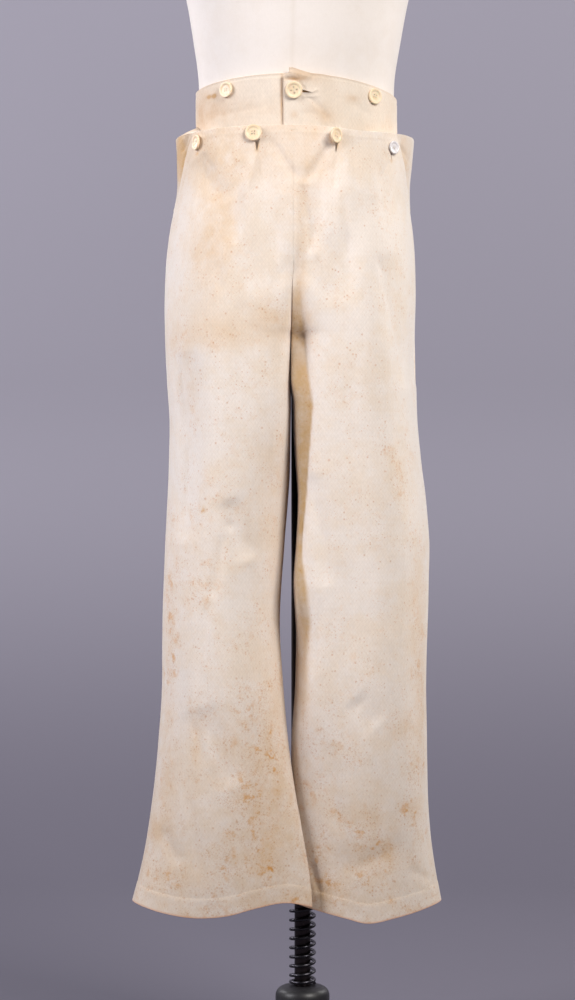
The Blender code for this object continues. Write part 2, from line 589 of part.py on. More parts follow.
def make_bearer(side):
    """The strip under the fall's side edge, from the side seam to under the flap.

    Under the flap it takes the flap's own points, moved in by a layer.
    """
    heights = [z for z in leg_heights() if z > SLIT_END_Z]
    open_parts = np.arange(BEARER_OPEN_COLUMNS) / BEARER_OPEN_COLUMNS
    columns = BEARER_OPEN_COLUMNS + BEARER_UNDER_COLUMNS
    rows = []
    for z in heights:
        points = outline(side, "front", z)
        slit = slit_arc(z)
        flap = slit + (arc_length(points) - SEAM_GAP / 2 - slit) * crowded(FRONT_COLUMNS, "front")
        wanted = np.concatenate([
            SEAM_GAP / 2 + (slit - SEAM_GAP / 2) * open_parts, flap[:BEARER_UNDER_COLUMNS]])
        rows.append(at_distances(points, wanted))
    plan = np.array(rows)
    z = np.repeat(np.array(heights)[:, None], columns, axis=1)
    z = z + fall_shift(plan[..., 0], z)
    points = np.concatenate([plan, z[..., None]], axis=2)
    flip = normal_flip(side, "front")
    points = points + grid_normals(points, flip) * fold_depth(points, "front")[..., None]
    ring = band_outline(side, "front")
    reach = arc_length(ring[side_sign(side) * (ring[:, 0] - CENTRE_FRONT_X) < BEARER_END_X])
    shares = np.linspace(0.0, 1.0, columns)
    shelf = shelf_rows(side, "front", points[-1, :, :2], 0.0, reach, shares)
    points = np.concatenate([points, np.array(shelf)])
    normals = grid_normals(points, flip)
    normals[:, 0, 1] = 0.0
    normals /= np.linalg.norm(normals, axis=2, keepdims=True)
    outer = points - normals * (WALL + LAYER_GAP)
    vertices, faces = wall(outer, outer - normals * WALL)
    return add_object(f"bearer_{side}", vertices, faces, "trouser_cotton")


def band_top(x, y):
    front = np.clip(-y / BAND_HALF_DEPTH, 0.0, 1.0)
    drop = BAND_LEFT_DROP * np.clip(x / BAND_HALF_WIDTH, 0.0, 1.0) ** BAND_DROP_POWER
    return BAND_TOP_SIDE_Z + (BAND_TOP_FRONT_Z - BAND_TOP_SIDE_Z) * front**2 - drop


def band_bottom(x, y):
    """Behind the fall the waistband's lower edge is deeper."""
    across = np.abs(x - CENTRE_FRONT_X)
    behind = step((BAND_DIP_X - across) / BAND_DIP_RUN) * (y < 0.0)
    return BAND_LOW_Z + (BAND_LOW_FRONT_Z - BAND_LOW_Z) * behind


def band_lift(side, x):
    """Where the left half lies over the right, it stands out by a layer."""
    if side == "right":
        return np.zeros_like(x)
    return (BAND_WALL + LAYER_GAP) * step((BAND_LAP_X - x) / BAND_LAP_RUN)


def waistband_points(side, columns, parts):
    """Outer points of half the waistband, from the centre back round to the front."""
    sign = side_sign(side)
    back = band_outline(side, "back")[::-1]
    end_x = UNDERLAP_END_X if side == "right" else OVERLAP_END_X
    angle = np.linspace(0.0, math.pi, 4 * CURVE_POINTS)
    across = np.sign(np.cos(angle)) * np.abs(np.cos(angle)) ** (2 / BAND_POWER)
    x = BAND_CENTRE_X + sign * BAND_HALF_WIDTH * across
    y = -BAND_HALF_DEPTH * np.sin(angle) ** (2 / BAND_POWER)
    keep = sign * (x - end_x) >= 0.0
    front = np.stack([x[keep], y[keep]], axis=1)
    around = np.concatenate([back, front[1:]])
    ring = spaced(around, SEAM_GAP / 2, 0.0, np.linspace(0.0, 1.0, columns))
    front_side = ring[:, 1] < 0.0
    bottom = band_bottom(ring[:, 0], ring[:, 1])
    top = band_top(ring[:, 0], ring[:, 1])
    corner = np.zeros(columns)
    if side == "left":
        corner = step((BAND_CORNER_X - ring[:, 0]) / BAND_CORNER_RUN) * front_side
    rows = []
    for part in parts:
        z = bottom + (top - bottom + BAND_LIFT * corner) * part
        lean = BAND_GAPE * corner * max(part - BAND_LEAN_PART, 0.0) / (1.0 - BAND_LEAN_PART)
        lift = band_lift(side, ring[:, 0]) * front_side + lean
        rows.append(np.stack([ring[:, 0], ring[:, 1] - lift, z], axis=1))
    points = np.array(rows)
    normals = grid_normals(points, side_sign(side))
    normals[:, 0, 0] = 0.0
    return points, normals / np.linalg.norm(normals, axis=2, keepdims=True)


def make_waistband(side):
    points, normals = waistband_points(side, BAND_COLUMNS, (0.0, BAND_LEAN_PART, 0.75, 1.0))
    vertices, faces = wall(points, points - normals * BAND_WALL)
    return add_object(f"waistband_{side}", vertices, faces, "waistband_cotton")


def turned(name, profile, segments, finish, at=(0.0, 0.0, 0.0), normal=(0.0, 0.0, 1.0)):
    """A turned solid from a profile of radius and height, which starts and ends on its axis."""
    turn = Vector((0.0, 0.0, 1.0)).rotation_difference(Vector(normal)).to_matrix().to_4x4()
    place = Matrix.Translation(Vector(at)) @ turn
    vertices = []
    rings = []
    for radius, height in profile:
        if radius == 0.0:
            rings.append([len(vertices)])
            vertices.append(place @ Vector((0.0, 0.0, height)))
            continue
        rings.append(list(range(len(vertices), len(vertices) + segments)))
        for i in range(segments):
            angle = 2.0 * math.pi * i / segments
            place_on_ring = Vector((radius * math.cos(angle), radius * math.sin(angle), height))
            vertices.append(place @ place_on_ring)
    faces = []
    for low, high in zip(rings, rings[1:]):
        for i in range(segments):
            j = (i + 1) % segments
            if len(low) == 1:
                faces.append((low[0], high[j], high[i]))
            elif len(high) == 1:
                faces.append((low[i], low[j], high[0]))
            else:
                faces.append((low[i], low[j], high[j], high[i]))
    return add_object(name, vertices, faces, finish)


def turned_tube(name, profile, segments, finish):
    """A turned solid with a through bore: the profile is a closed loop off the axis."""
    vertices = []
    for radius, height in profile:
        for i in range(segments):
            angle = 2.0 * math.pi * i / segments
            vertices.append((radius * math.cos(angle), radius * math.sin(angle), height))
    faces = []
    count = len(profile)
    for k in range(count):
        after = (k + 1) % count
        for i in range(segments):
            j = (i + 1) % segments
            faces.append((k * segments + i, k * segments + j,
                          after * segments + j, after * segments + i))
    return add_object(name, vertices, faces, finish)


def button_profile(radius, height):
    """Flat back, rounded edge, raised rim and a sunk middle."""
    return (
        (0.0, 0.0), (radius * 0.86, 0.0), (radius, height * 0.45), (radius * 0.93, height),
        (radius * 0.72, height * 0.92), (radius * 0.60, height * 0.62), (0.0, height * 0.60),
    )


def surface_at(points, normals, x, z):
    """The grid's point nearest to a place seen from the front, and its normal."""
    away = (points[..., 0] - x) ** 2 + (points[..., 2] - z) ** 2
    r, c = np.unravel_index(np.argmin(away), away.shape)
    return points[r, c], normals[r, c]


# Name, place across and up, radius, thickness, seat, finish. The seat is how far the button
# stands off the true surface, to clear the facets of the cloth under it.
FALL_BUTTONS = (
    ("button_fall_inner_right", "right", -0.0548, 1.0775, 0.0098, 0.0030, 0.0007, "bone_button"),
    ("button_fall_inner_left", "left", 0.0387, 1.0735, 0.0094, 0.0030, 0.0007, "bone_button"),
    ("button_fall_corner_right", "right", -0.1225, 1.0690, 0.0086, 0.0030, 0.0002, "bone_button"),
    ("button_fall_corner_left", "left", 0.1030, 1.0648, 0.0078, 0.0032, 0.0007, "china_button"),
)
BAND_BUTTONS = (
    ("button_brace_right", "right", -0.0872, 1.1314, 0.0092, 0.0030, 0.0007, "bone_button"),
    ("button_brace_left", "left", 0.0812, 1.1222, 0.0092, 0.0030, 0.0007, "bone_button"),
    ("button_waist", "left", -0.0103, 1.1272, 0.0104, 0.0032, 0.0007, "bone_button"),
)
BUTTON_SEGMENTS = 16
BUTTON_ROWS = 60            # a fine grid of the cloth finds the place under a button
BUTTON_COLUMNS = 200


def make_fall_buttons():
    heights = list(np.linspace(FALL_BEND_Z, HIP_TOP_Z, BUTTON_ROWS))
    for name, side, x, z, radius, height, seat, finish in FALL_BUTTONS:
        points, normals = panel_points(side, "front", heights, BUTTON_COLUMNS)
        place, normal = surface_at(points, normals, x, z)
        turned(name, button_profile(radius, height), BUTTON_SEGMENTS, finish,
               place + normal * seat, normal)


def make_band_buttons():
    for name, side, x, z, radius, height, seat, finish in BAND_BUTTONS:
        parts = np.linspace(0.0, 1.0, BUTTON_ROWS)
        points, normals = waistband_points(side, 2 * BUTTON_COLUMNS, parts)
        ahead = points[:, points[0, :, 1] < 0.0]
        facing = normals[:, points[0, :, 1] < 0.0]
        place, normal = surface_at(ahead, facing, x, z)
        turned(name, button_profile(radius, height), BUTTON_SEGMENTS, finish,
               place + normal * seat, normal)


def make_torso():
    """The dress form, closed below and at the neck."""
    data = np.array(FORM_SECTIONS)
    vertices = []
    for row in data:
        z, x_centre, half_width, y_front, y_back = row
        low, waist_low, waist_high, high = FORM_WAIST_Z
        waist = step((z - low) / (waist_low - low))
        waist = waist * (1.0 - step((z - waist_high) / (high - waist_high)))
        power = FORM_POWER + (BAND_POWER - FORM_POWER) * waist
        for i in range(FORM_ANGLES):
            angle = 2.0 * math.pi * i / FORM_ANGLES
            c = math.cos(angle)
            s = math.sin(angle)
            x = x_centre + half_width * math.copysign(abs(c) ** (2 / power), c)
            depth = y_back if s > 0.0 else -y_front
            y = depth * math.copysign(abs(s) ** (2 / power), s)
            vertices.append((x, y, z))
    faces = []
    for k in range(len(data) - 1):
        for i in range(FORM_ANGLES):
            j = (i + 1) % FORM_ANGLES
            a = k * FORM_ANGLES
            b = (k + 1) * FORM_ANGLES
            faces.append((a + i, a + j, b + j, b + i))
    for z, k in ((FORM_LOW_Z, 0), (NECK_TOP_Z, len(data) - 1)):
        centre = len(vertices)
        vertices.append((data[k][1], 0.0, z))
        for i in range(FORM_ANGLES):
            j = (i + 1) % FORM_ANGLES
            faces.append((k * FORM_ANGLES + i, k * FORM_ANGLES + j, centre))
    return add_object("form_torso", vertices, faces, "form_linen")


def make_neck_cap():
    """A turned wooden cap on the neck with a small knob."""
    low = NECK_TOP_Z + CONTACT_GAP
    profile = (
        (0.0, low), (CAP_RADIUS * 0.96, low), (CAP_RADIUS, low + CAP_HEIGHT * 0.3),
        (CAP_RADIUS * 0.90, low + CAP_HEIGHT * 0.75), (CAP_RADIUS * 0.45, low + CAP_HEIGHT),
        (CAP_RADIUS * 0.20, low + CAP_HEIGHT * 1.2), (CAP_RADIUS * 0.30, low + CAP_HEIGHT * 1.7),
        (CAP_RADIUS * 0.22, low + CAP_HEIGHT * 2.1), (0.0, low + CAP_HEIGHT * 2.2),
    )
    return turned("form_neck_cap", profile, 24, "turned_wood", at=(-0.0060, 0.0025, 0.0))


def make_tube():
    """The sliding tube, with the flange that the form sits on."""
    top = FORM_LOW_Z - CONTACT_GAP
    profile = (
        (TUBE_BORE, TUBE_LOW_Z), (TUBE_RADIUS, TUBE_LOW_Z),
        (TUBE_RADIUS, top - FLANGE_HEIGHT - 0.006), (TUBE_RADIUS + 0.006, top - FLANGE_HEIGHT),
        (FLANGE_RADIUS, top - FLANGE_HEIGHT), (FLANGE_RADIUS, top), (TUBE_BORE, top),
    )
    return turned_tube("form_tube", profile, 24, "dark_steel")


def make_rod():
    profile = (
        (0.0, ROD_LOW_Z + CONTACT_GAP), (ROD_RADIUS, ROD_LOW_Z + CONTACT_GAP),
        (ROD_RADIUS, ROD_HIGH_Z - 0.002), (ROD_RADIUS - 0.002, ROD_HIGH_Z), (0.0, ROD_HIGH_Z),
    )
    return turned("stand_rod", profile, 24, "dark_steel")


def make_base():
    """A round cast base, domed up to the hub that holds the rod."""
    bore = ROD_RADIUS + CONTACT_GAP
    profile = (
        (0.0, 0.0), (BASE_RADIUS - 0.004, 0.0), (BASE_RADIUS, 0.003), (BASE_RADIUS, 0.010),
        (BASE_RADIUS - 0.006, 0.014), (0.110, 0.0205), (0.056, 0.0285), (0.040, 0.038),
        (HUB_RADIUS, 0.052), (HUB_RADIUS, 0.076), (HUB_RADIUS - 0.003, 0.0815),
        (HUB_RADIUS - 0.010, HUB_TOP_Z), (bore, HUB_TOP_Z), (bore, ROD_LOW_Z),
        (0.0, ROD_LOW_Z),
    )
    return turned("stand_base", profile, 36, "cast_iron_paint")


def make_spring():
    """A coil spring between the hub and the tube, its end turns closed up."""
    middle = SPRING_RADIUS - SPRING_WIRE
    low = HUB_TOP_Z + CONTACT_GAP + SPRING_WIRE
    high = TUBE_LOW_Z - CONTACT_GAP - SPRING_WIRE
    close_pitch = 2.2 * SPRING_WIRE
    open_turns = round((high - low - 2.0 * close_pitch) / SPRING_PITCH)
    open_pitch = (high - low - 2.0 * close_pitch) / open_turns
    turns = open_turns + 2
    per_turn = SPRING_TURN_POINTS
    sides = SPRING_SIDES
    centres = []
    for i in range(turns * per_turn + 1):
        turn = i / per_turn
        height = low + close_pitch * min(turn, 1.0) + open_pitch * max(min(turn, turns - 1) - 1, 0)
        height += close_pitch * max(turn - (turns - 1), 0.0)
        angle = 2.0 * math.pi * turn
        centres.append((middle * math.cos(angle), middle * math.sin(angle), height, angle))
    vertices = []
    for x, y, z, angle in centres:
        outward = Vector((math.cos(angle), math.sin(angle), 0.0))
        for k in range(sides):
            round_wire = 2.0 * math.pi * k / sides
            shift = outward * math.cos(round_wire) + Vector((0.0, 0.0, math.sin(round_wire)))
            vertices.append(Vector((x, y, z)) + shift * SPRING_WIRE)
    faces = []
    for i in range(len(centres) - 1):
        for k in range(sides):
            n = (k + 1) % sides
            faces.append((i * sides + k, i * sides + n, (i + 1) * sides + n, (i + 1) * sides + k))
    last = (len(centres) - 1) * sides
    faces.append(tuple(range(sides)))
    faces.append(tuple(last + k for k in range(sides)))
    return add_object("stand_spring", vertices, faces, "dark_steel")


remove_everything()
for wearer_side in ("right", "left"):
    make_front(wearer_side)
    make_back(wearer_side)
    make_bearer(wearer_side)
    make_waistband(wearer_side)
make_fall_buttons()
make_band_buttons()
make_torso()
make_neck_cap()
make_tube()
make_rod()
make_base()
make_spring()
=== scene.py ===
"""Fall-front trousers of about 1840, worn on a limbless dress form with a sprung pole stand.

Metres, +Z up. The garment's front faces -Y, so the wearer's right leg is at -X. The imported
solids are the frame, and each cloth piece here is a finer shell on the form of its own solid.
"""

import math

import bmesh
import bpy
import numpy as np
from mathutils import Matrix, Vector, noise


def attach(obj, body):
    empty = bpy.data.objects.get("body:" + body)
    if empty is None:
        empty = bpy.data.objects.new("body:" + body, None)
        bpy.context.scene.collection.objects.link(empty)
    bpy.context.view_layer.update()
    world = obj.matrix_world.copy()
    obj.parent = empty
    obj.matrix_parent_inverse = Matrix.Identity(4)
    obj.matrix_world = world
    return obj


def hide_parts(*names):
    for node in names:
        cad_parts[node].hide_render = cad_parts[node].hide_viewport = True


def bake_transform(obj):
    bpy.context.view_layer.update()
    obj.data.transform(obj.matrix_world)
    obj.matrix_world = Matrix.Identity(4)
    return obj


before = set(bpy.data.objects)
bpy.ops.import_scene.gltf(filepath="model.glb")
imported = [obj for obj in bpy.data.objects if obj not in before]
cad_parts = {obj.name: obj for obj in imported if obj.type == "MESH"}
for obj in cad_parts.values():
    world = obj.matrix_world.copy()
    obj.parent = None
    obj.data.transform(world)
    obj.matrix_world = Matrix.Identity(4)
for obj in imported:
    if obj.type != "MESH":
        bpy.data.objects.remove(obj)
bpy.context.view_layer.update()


# The camera
# The photograph is taken level, from three metres, at the height of the thighs. One pixel of
# its 575 by 1000 is 1.183 mm at the pole, and that sets the lens.
PIXEL = 0.001183
IMAGE_HEIGHT = 1000
CAMERA_DISTANCE = 3.0
CAMERA_X = -0.01775
CAMERA_Z = 0.6588
SENSOR_MM = 36.0

camera_data = bpy.data.cameras.new("camera")
camera_data.sensor_width = SENSOR_MM
camera_data.lens = SENSOR_MM * CAMERA_DISTANCE / (PIXEL * IMAGE_HEIGHT)
camera = bpy.data.objects.new("camera", camera_data)
camera.location = (CAMERA_X, -CAMERA_DISTANCE, CAMERA_Z)
camera.rotation_euler = (math.radians(90.0), 0.0, 0.0)
bpy.context.scene.collection.objects.link(camera)
bpy.context.scene.camera = camera
bpy.context.scene.view_settings.view_transform = "Standard"


# The studio
# A seamless sheet of pale grey paper lies on the floor and turns up the wall behind the stand.
# A large soft box lights it from the upper right and another fills the left. Two weaker ones
# stand behind it at the sides, and a fifth lights the paper.
PAPER_HALF_WIDTH = 4.0
PAPER_FRONT_Y = -4.5
PAPER_BEND_Y = 1.30         # the floor starts to turn up here
PAPER_BEND_RADIUS = 0.90
PAPER_TOP_Z = 4.5
PAPER_BEND_STEPS = 24
PAPER_SHADED_TO_Z = 0.8     # painted shade on the paper fades out up to this height
STUDIO_HALF_SIZE = 12.0     # the floor goes on behind the paper
STUDIO_FLOOR_Z = -0.004
STUDIO_AIR = 0.07           # light from all round
# Name, place, the point it faces, width, power in watts, colour
SOFT_BOXES = (
    ("key", (1.85, -2.45, 2.60), (0.0, 0.0, 1.50), 1.50, 123.0, "#FFFBF6"),
    ("fill", (-2.90, -1.35, 2.00), (0.0, 0.0, 1.30), 1.60, 98.0, "#FCFBFF"),
    ("back_right", (2.30, 1.35, 2.10), (0.0, 0.0, 1.00), 1.20, 34.0, "#FFFDFB"),
    ("back_left", (-2.30, 1.35, 2.10), (0.0, 0.0, 1.00), 1.20, 34.0, "#FCFBFF"),
    ("wall", (0.0, 0.90, 3.20), (0.0, 2.20, 1.30), 1.20, 14.0, "#FFFFFF"),
)


def colour(code):
    """An sRGB hex value as linear red, green, blue and alpha."""
    channels = [int(code[i:i + 2], 16) / 255.0 for i in (1, 3, 5)]
    light = [c / 12.92 if c <= 0.04045 else ((c + 0.055) / 1.055) ** 2.4 for c in channels]
    return (*light, 1.0)


def add_node(tree, kind, inputs=None, out=0, **settings):
    """Add a node with its settings and its links or values, and give one of its outputs."""
    made = tree.nodes.new(kind)
    for name, value in settings.items():
        setattr(made, name, value)
    for socket, value in (inputs or {}).items():
        if isinstance(value, bpy.types.NodeSocket):
            tree.links.new(value, made.inputs[socket])
        else:
            made.inputs[socket].default_value = value
    return made.outputs[out]


def maths(tree, operation, *values, clamp=False):
    """A sum, a product or the like of links and numbers."""
    return add_node(tree, "ShaderNodeMath", dict(enumerate(values)), operation=operation,
                    use_clamp=clamp)


def graded(tree, value, low, high, start=0.0, end=1.0, smooth=True):
    """From start to end as the value goes from low to high."""
    return add_node(tree, "ShaderNodeMapRange", {0: value, 1: low, 2: high, 3: start, 4: end},
                    interpolation_type="SMOOTHSTEP" if smooth else "LINEAR")


def own_place(tree, stretch=(1.0, 1.0, 1.0)):
    """The place in the piece's own metres, multiplied along each axis."""
    place = add_node(tree, "ShaderNodeTexCoord", out=3)
    return add_node(tree, "ShaderNodeMapping", {0: place, 3: stretch})


def cloudy(tree, place, scale, detail, roughness=0.5, distortion=0.0):
    """Soft noise, so many patches a metre."""
    return add_node(tree, "ShaderNodeTexNoise", {
        "Vector": place, "Scale": scale, "Detail": detail, "Roughness": roughness,
        "Distortion": distortion})


def tinted(tree, share, first, second, blend="MIX"):
    """The second colour on the first, by a share. Each is a link or a hex value."""
    first, second = (colour(c) if isinstance(c, str) else c for c in (first, second))
    return add_node(tree, "ShaderNodeMix", {0: share, 6: first, 7: second}, out=2,
                    data_type="RGBA", blend_type=blend)


def bumped(tree, height, strength, distance, **under):
    """The normal of a relief, on another where one is given."""
    return add_node(tree, "ShaderNodeBump", {
        "Height": height, "Strength": strength, "Distance": distance, **under})


def new_material(name, **sockets):
    """A material, its tree and its Principled shader with these constant values."""
    made = bpy.data.materials.new(name)
    made.use_nodes = True
    shader = made.node_tree.nodes["Principled BSDF"]
    for socket, value in sockets.items():
        shader.inputs[socket.replace("_", " ")].default_value = value
    return made, made.node_tree, shader


def plug(tree, shader, **links):
    """Link values to the shader's sockets."""
    for socket, value in links.items():
        tree.links.new(value, shader.inputs[socket.replace("_", " ")])


def add_mesh(name, vertices, faces, material, smooth_angle=40.0):
    """A mesh object at the origin, smooth but for edges sharper than the angle."""
    mesh = bpy.data.meshes.new(name)
    mesh.from_pydata(np.asarray(vertices).tolist(), [], faces)
    mesh.shade_smooth()
    mesh.set_sharp_from_angle(angle=math.radians(smooth_angle))
    mesh.materials.append(material)
    made = bpy.data.objects.new(name, mesh)
    bpy.context.scene.collection.objects.link(made)
    return made


# Matt paper with painted shade: darker towards and on the floor, where less light falls, and
# faintly uneven. Seen from behind, it hides nothing.
paper, tree, shader = new_material("seamless_paper", Roughness=0.9)
place = own_place(tree)
shade = graded(tree, add_node(tree, "ShaderNodeSeparateXYZ", {0: place}, out=2),
               0.0, PAPER_SHADED_TO_Z, 1.0, 0.0)
tint = tinted(tree, cloudy(tree, place, 0.8, 2.0), "#8E8B98", "#94919E")
plug(tree, shader, Base_Color=tinted(tree, shade, tint, "#65626F"))
facing = add_node(tree, "ShaderNodeMixShader", {
    0: add_node(tree, "ShaderNodeNewGeometry", out=6), 1: shader.outputs[0],
    2: add_node(tree, "ShaderNodeBsdfTransparent")})
tree.links.new(facing, tree.nodes["Material Output"].inputs["Surface"])

turn = np.linspace(0.0, math.pi / 2, PAPER_BEND_STEPS)
paper_line = [(PAPER_FRONT_Y, 0.0)]
paper_line += [(PAPER_BEND_Y + PAPER_BEND_RADIUS * math.sin(a),
                PAPER_BEND_RADIUS * (1.0 - math.cos(a))) for a in turn]
paper_line += [(PAPER_BEND_Y + PAPER_BEND_RADIUS, PAPER_TOP_Z)]
places = [(x, y, z) for y, z in paper_line for x in (-PAPER_HALF_WIDTH, PAPER_HALF_WIDTH)]
faces = [(2 * i, 2 * i + 1, 2 * i + 3, 2 * i + 2) for i in range(len(paper_line) - 1)]
add_mesh("seamless_floor", places, faces, paper)
places = [(x * STUDIO_HALF_SIZE, y * STUDIO_HALF_SIZE, STUDIO_FLOOR_Z)
          for x, y in ((-1, -1), (1, -1), (1, 1), (-1, 1))]
add_mesh("studio_floor", places, [(0, 1, 2, 3)], paper)

for name, place, target, width, power, tint in SOFT_BOXES:
    lamp = bpy.data.lights.new(name, "AREA")
    lamp.shape = "SQUARE"
    lamp.size = width
    lamp.energy = power
    lamp.color = colour(tint)[:3]
    box = bpy.data.objects.new(name, lamp)
    box.location = place
    box.rotation_euler = (Vector(target) - Vector(place)).to_track_quat("-Z", "Y").to_euler()
    bpy.context.scene.collection.objects.link(box)

world = bpy.data.worlds.new("studio_air")
world.use_nodes = True
air = world.node_tree.nodes["Background"].inputs
air["Color"].default_value = colour("#E6E6F0")
air["Strength"].default_value = STUDIO_AIR
bpy.context.scene.world = world


# The base
# A round foot of cast iron, turned on its rim and domed up to a hub that holds the rod. It is
# painted with dull black enamel, which has worn thin on the raised edges.
BASE_RADIUS = 0.192
HUB_RADIUS = 0.032
HUB_TOP_Z = 0.085
ROD_RADIUS = 0.0095
ROD_LOW_Z = 0.030
CONTACT_GAP = 0.0003
BORE_RADIUS = ROD_RADIUS + CONTACT_GAP
# Radius, height, and how far the corner is rounded
BASE_PROFILE = (
    (0.0, 0.0, 0.0), (BASE_RADIUS - 0.003, 0.0, 0.002), (BASE_RADIUS, 0.003, 0.002),
    (BASE_RADIUS, 0.010, 0.003), (BASE_RADIUS - 0.006, 0.014, 0.004),
    (0.110, 0.0205, 0.030), (0.056, 0.0285, 0.020), (0.040, 0.038, 0.010),
    (HUB_RADIUS, 0.052, 0.006), (HUB_RADIUS, 0.076, 0.004), (HUB_RADIUS - 0.003, 0.0815, 0.003),
    (HUB_RADIUS - 0.010, HUB_TOP_Z, 0.003), (BORE_RADIUS, HUB_TOP_Z, 0.001),
    (BORE_RADIUS, ROD_LOW_Z, 0.0), (0.0, ROD_LOW_Z, 0.0),
)
CORNER_STEPS = 6


def rounded(profile):
    """The profile with each corner as a short curve, at most to the middle of its sides."""
    places = [np.array(row[:2]) for row in profile]
    line = [places[0]]
    for before, here, after, row in zip(places, places[1:], places[2:], profile[1:]):
        reach = row[2]
        if reach == 0.0:
            line.append(here)
            continue
        ends = []
        for other in (before, after):
            away = other - here
            length = float(np.linalg.norm(away))
            ends.append(here + away / length * min(reach, 0.48 * length))
        for t in np.linspace(0.0, 1.0, CORNER_STEPS):
            line.append((1 - t) ** 2 * ends[0] + 2 * t * (1 - t) * here + t * t * ends[1])
    line.append(places[-1])
    return line


def turned(name, profile, segments, material, closed=False, centre=(0.0, 0.0)):
    """A piece turned on a vertical axis. A closed profile has a bore through it."""
    line = rounded(profile)
    if closed:
        line = line[:-1]
    vertices = []
    rings = []
    for radius, height in line:
        count = 1 if radius < 1e-9 else segments
        rings.append([len(vertices) + i for i in range(count)])
        for i in range(count):
            angle = 2.0 * math.pi * i / segments
            vertices.append((centre[0] + radius * math.cos(angle),
                             centre[1] + radius * math.sin(angle), height))
    faces = []
    for low, high in zip(rings, rings[1:] + (rings[:1] if closed else [])):
        for i in range(segments):
            j = (i + 1) % segments
            if len(low) == 1:
                faces.append((low[0], high[j], high[i]))
            elif len(high) == 1:
                faces.append((low[i], low[j], high[0]))
            else:
                faces.append((low[i], low[j], high[j], high[i]))
    return add_mesh(name, vertices, faces, material)


def wear(piece, node, body="form"):
    """The piece stands for a solid, and moves with its body."""
    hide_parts(node)
    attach(piece, body)


# Black enamel on cast iron: the sand mould leaves a fine orange-peel grain under the paint,
# so its shine breaks up, and rubbed places show dull grey iron.
enamel, tree, shader = new_material(
    "black_enamel_on_cast_iron", IOR=1.5, Coat_Weight=0.15, Coat_Roughness=0.3)
place = own_place(tree)
rubs = cloudy(tree, place, 26.0, 6.0, 0.7)
plug(tree, shader,
     Base_Color=tinted(tree, graded(tree, rubs, 0.60, 0.72), "#1D1C1F", "#37343A"),
     Roughness=graded(tree, rubs, 0.3, 0.7, 0.38, 0.58, smooth=False),
     Normal=bumped(tree, cloudy(tree, place, 420.0, 3.0, 0.6), 0.5, 0.0004))

wear(turned("cast_base", BASE_PROFILE, 128, enamel), "stand_base", "stand")


# The rod
# A polished steel rod, held in the hub and sliding in the tube above. Age and oil have
# browned it.
ROD_HIGH_Z = 0.620
ROD_PROFILE = (
    (0.0, ROD_LOW_Z + CONTACT_GAP, 0.0), (ROD_RADIUS, ROD_LOW_Z + CONTACT_GAP, 0.0008),
    (ROD_RADIUS, ROD_HIGH_Z - 0.002, 0.001), (ROD_RADIUS - 0.002, ROD_HIGH_Z, 0.001),
    (0.0, ROD_HIGH_Z, 0.0),
)

# Browned steel: dark, with fine drawing lines along its length and warmer patches.
steel, tree, shader = new_material("browned_drawn_steel", Metallic=1.0)
patches = cloudy(tree, own_place(tree), 34.0, 5.0, 0.65)
lines = cloudy(tree, own_place(tree, (900.0, 900.0, 9.0)), 1.0, 2.0)
plug(tree, shader, Base_Color=tinted(tree, patches, "#26242A", "#4A4140"),
     Roughness=graded(tree, patches, 0.3, 0.7, 0.28, 0.46, smooth=False),
     Normal=bumped(tree, lines, 0.25, 0.0001))

wear(turned("steel_rod", ROD_PROFILE, 48, steel), "stand_rod", "stand")


# The spring
# A coil of round spring wire between the hub and the tube. Its first and last turns are closed
# up, and it carries the form when the tube is let down.
TUBE_LOW_Z = 0.304
COIL_RADIUS = 0.0160        # outside of the coil
WIRE_RADIUS = 0.0019
OPEN_PITCH = 0.011
CLOSE_PITCH = 2.2 * WIRE_RADIUS
POINTS_A_TURN = 32
coil_low_z = HUB_TOP_Z + CONTACT_GAP + WIRE_RADIUS
coil_high_z = TUBE_LOW_Z - CONTACT_GAP - WIRE_RADIUS
open_height = coil_high_z - coil_low_z - 2.0 * CLOSE_PITCH
open_turns = round(open_height / OPEN_PITCH)
coil_turns = open_turns + 2


def new_tree(name, sockets):
    """A Geometry Nodes tree with named inputs, and each input's identifier."""
    tree = bpy.data.node_groups.new(name, "GeometryNodeTree")
    tree.interface.new_socket("Geometry", in_out="INPUT", socket_type="NodeSocketGeometry")
    tree.interface.new_socket("Geometry", in_out="OUTPUT", socket_type="NodeSocketGeometry")
    identifiers = {}
    for socket_name, kind in sockets.items():
        item = tree.interface.new_socket(socket_name, in_out="INPUT", socket_type=kind)
        identifiers[socket_name] = item.identifier
    given = tree.nodes.new("NodeGroupInput")
    result = tree.nodes.new("NodeGroupOutput")
    return tree, identifiers, given.outputs, result.inputs[0]


def grown(name, start_mesh, tree, identifiers, values, material):
    """Run a Geometry Nodes tree on a mesh and give its result as a plain mesh object."""
    holder = bpy.data.objects.new(name + "_path", start_mesh)
    bpy.context.scene.collection.objects.link(holder)
    modifier = holder.modifiers.new("nodes", "NODES")
    modifier.node_group = tree
    for socket_name, value in values.items():
        modifier[identifiers[socket_name]] = value
    modifier[identifiers["Material"]] = material
    graph = bpy.context.evaluated_depsgraph_get()
    mesh = bpy.data.meshes.new_from_object(holder.evaluated_get(graph))
    holder.modifiers.remove(modifier)
    bpy.data.objects.remove(holder)
    mesh.name = name
    made = bpy.data.objects.new(name, mesh)
    bpy.context.scene.collection.objects.link(made)
    return made


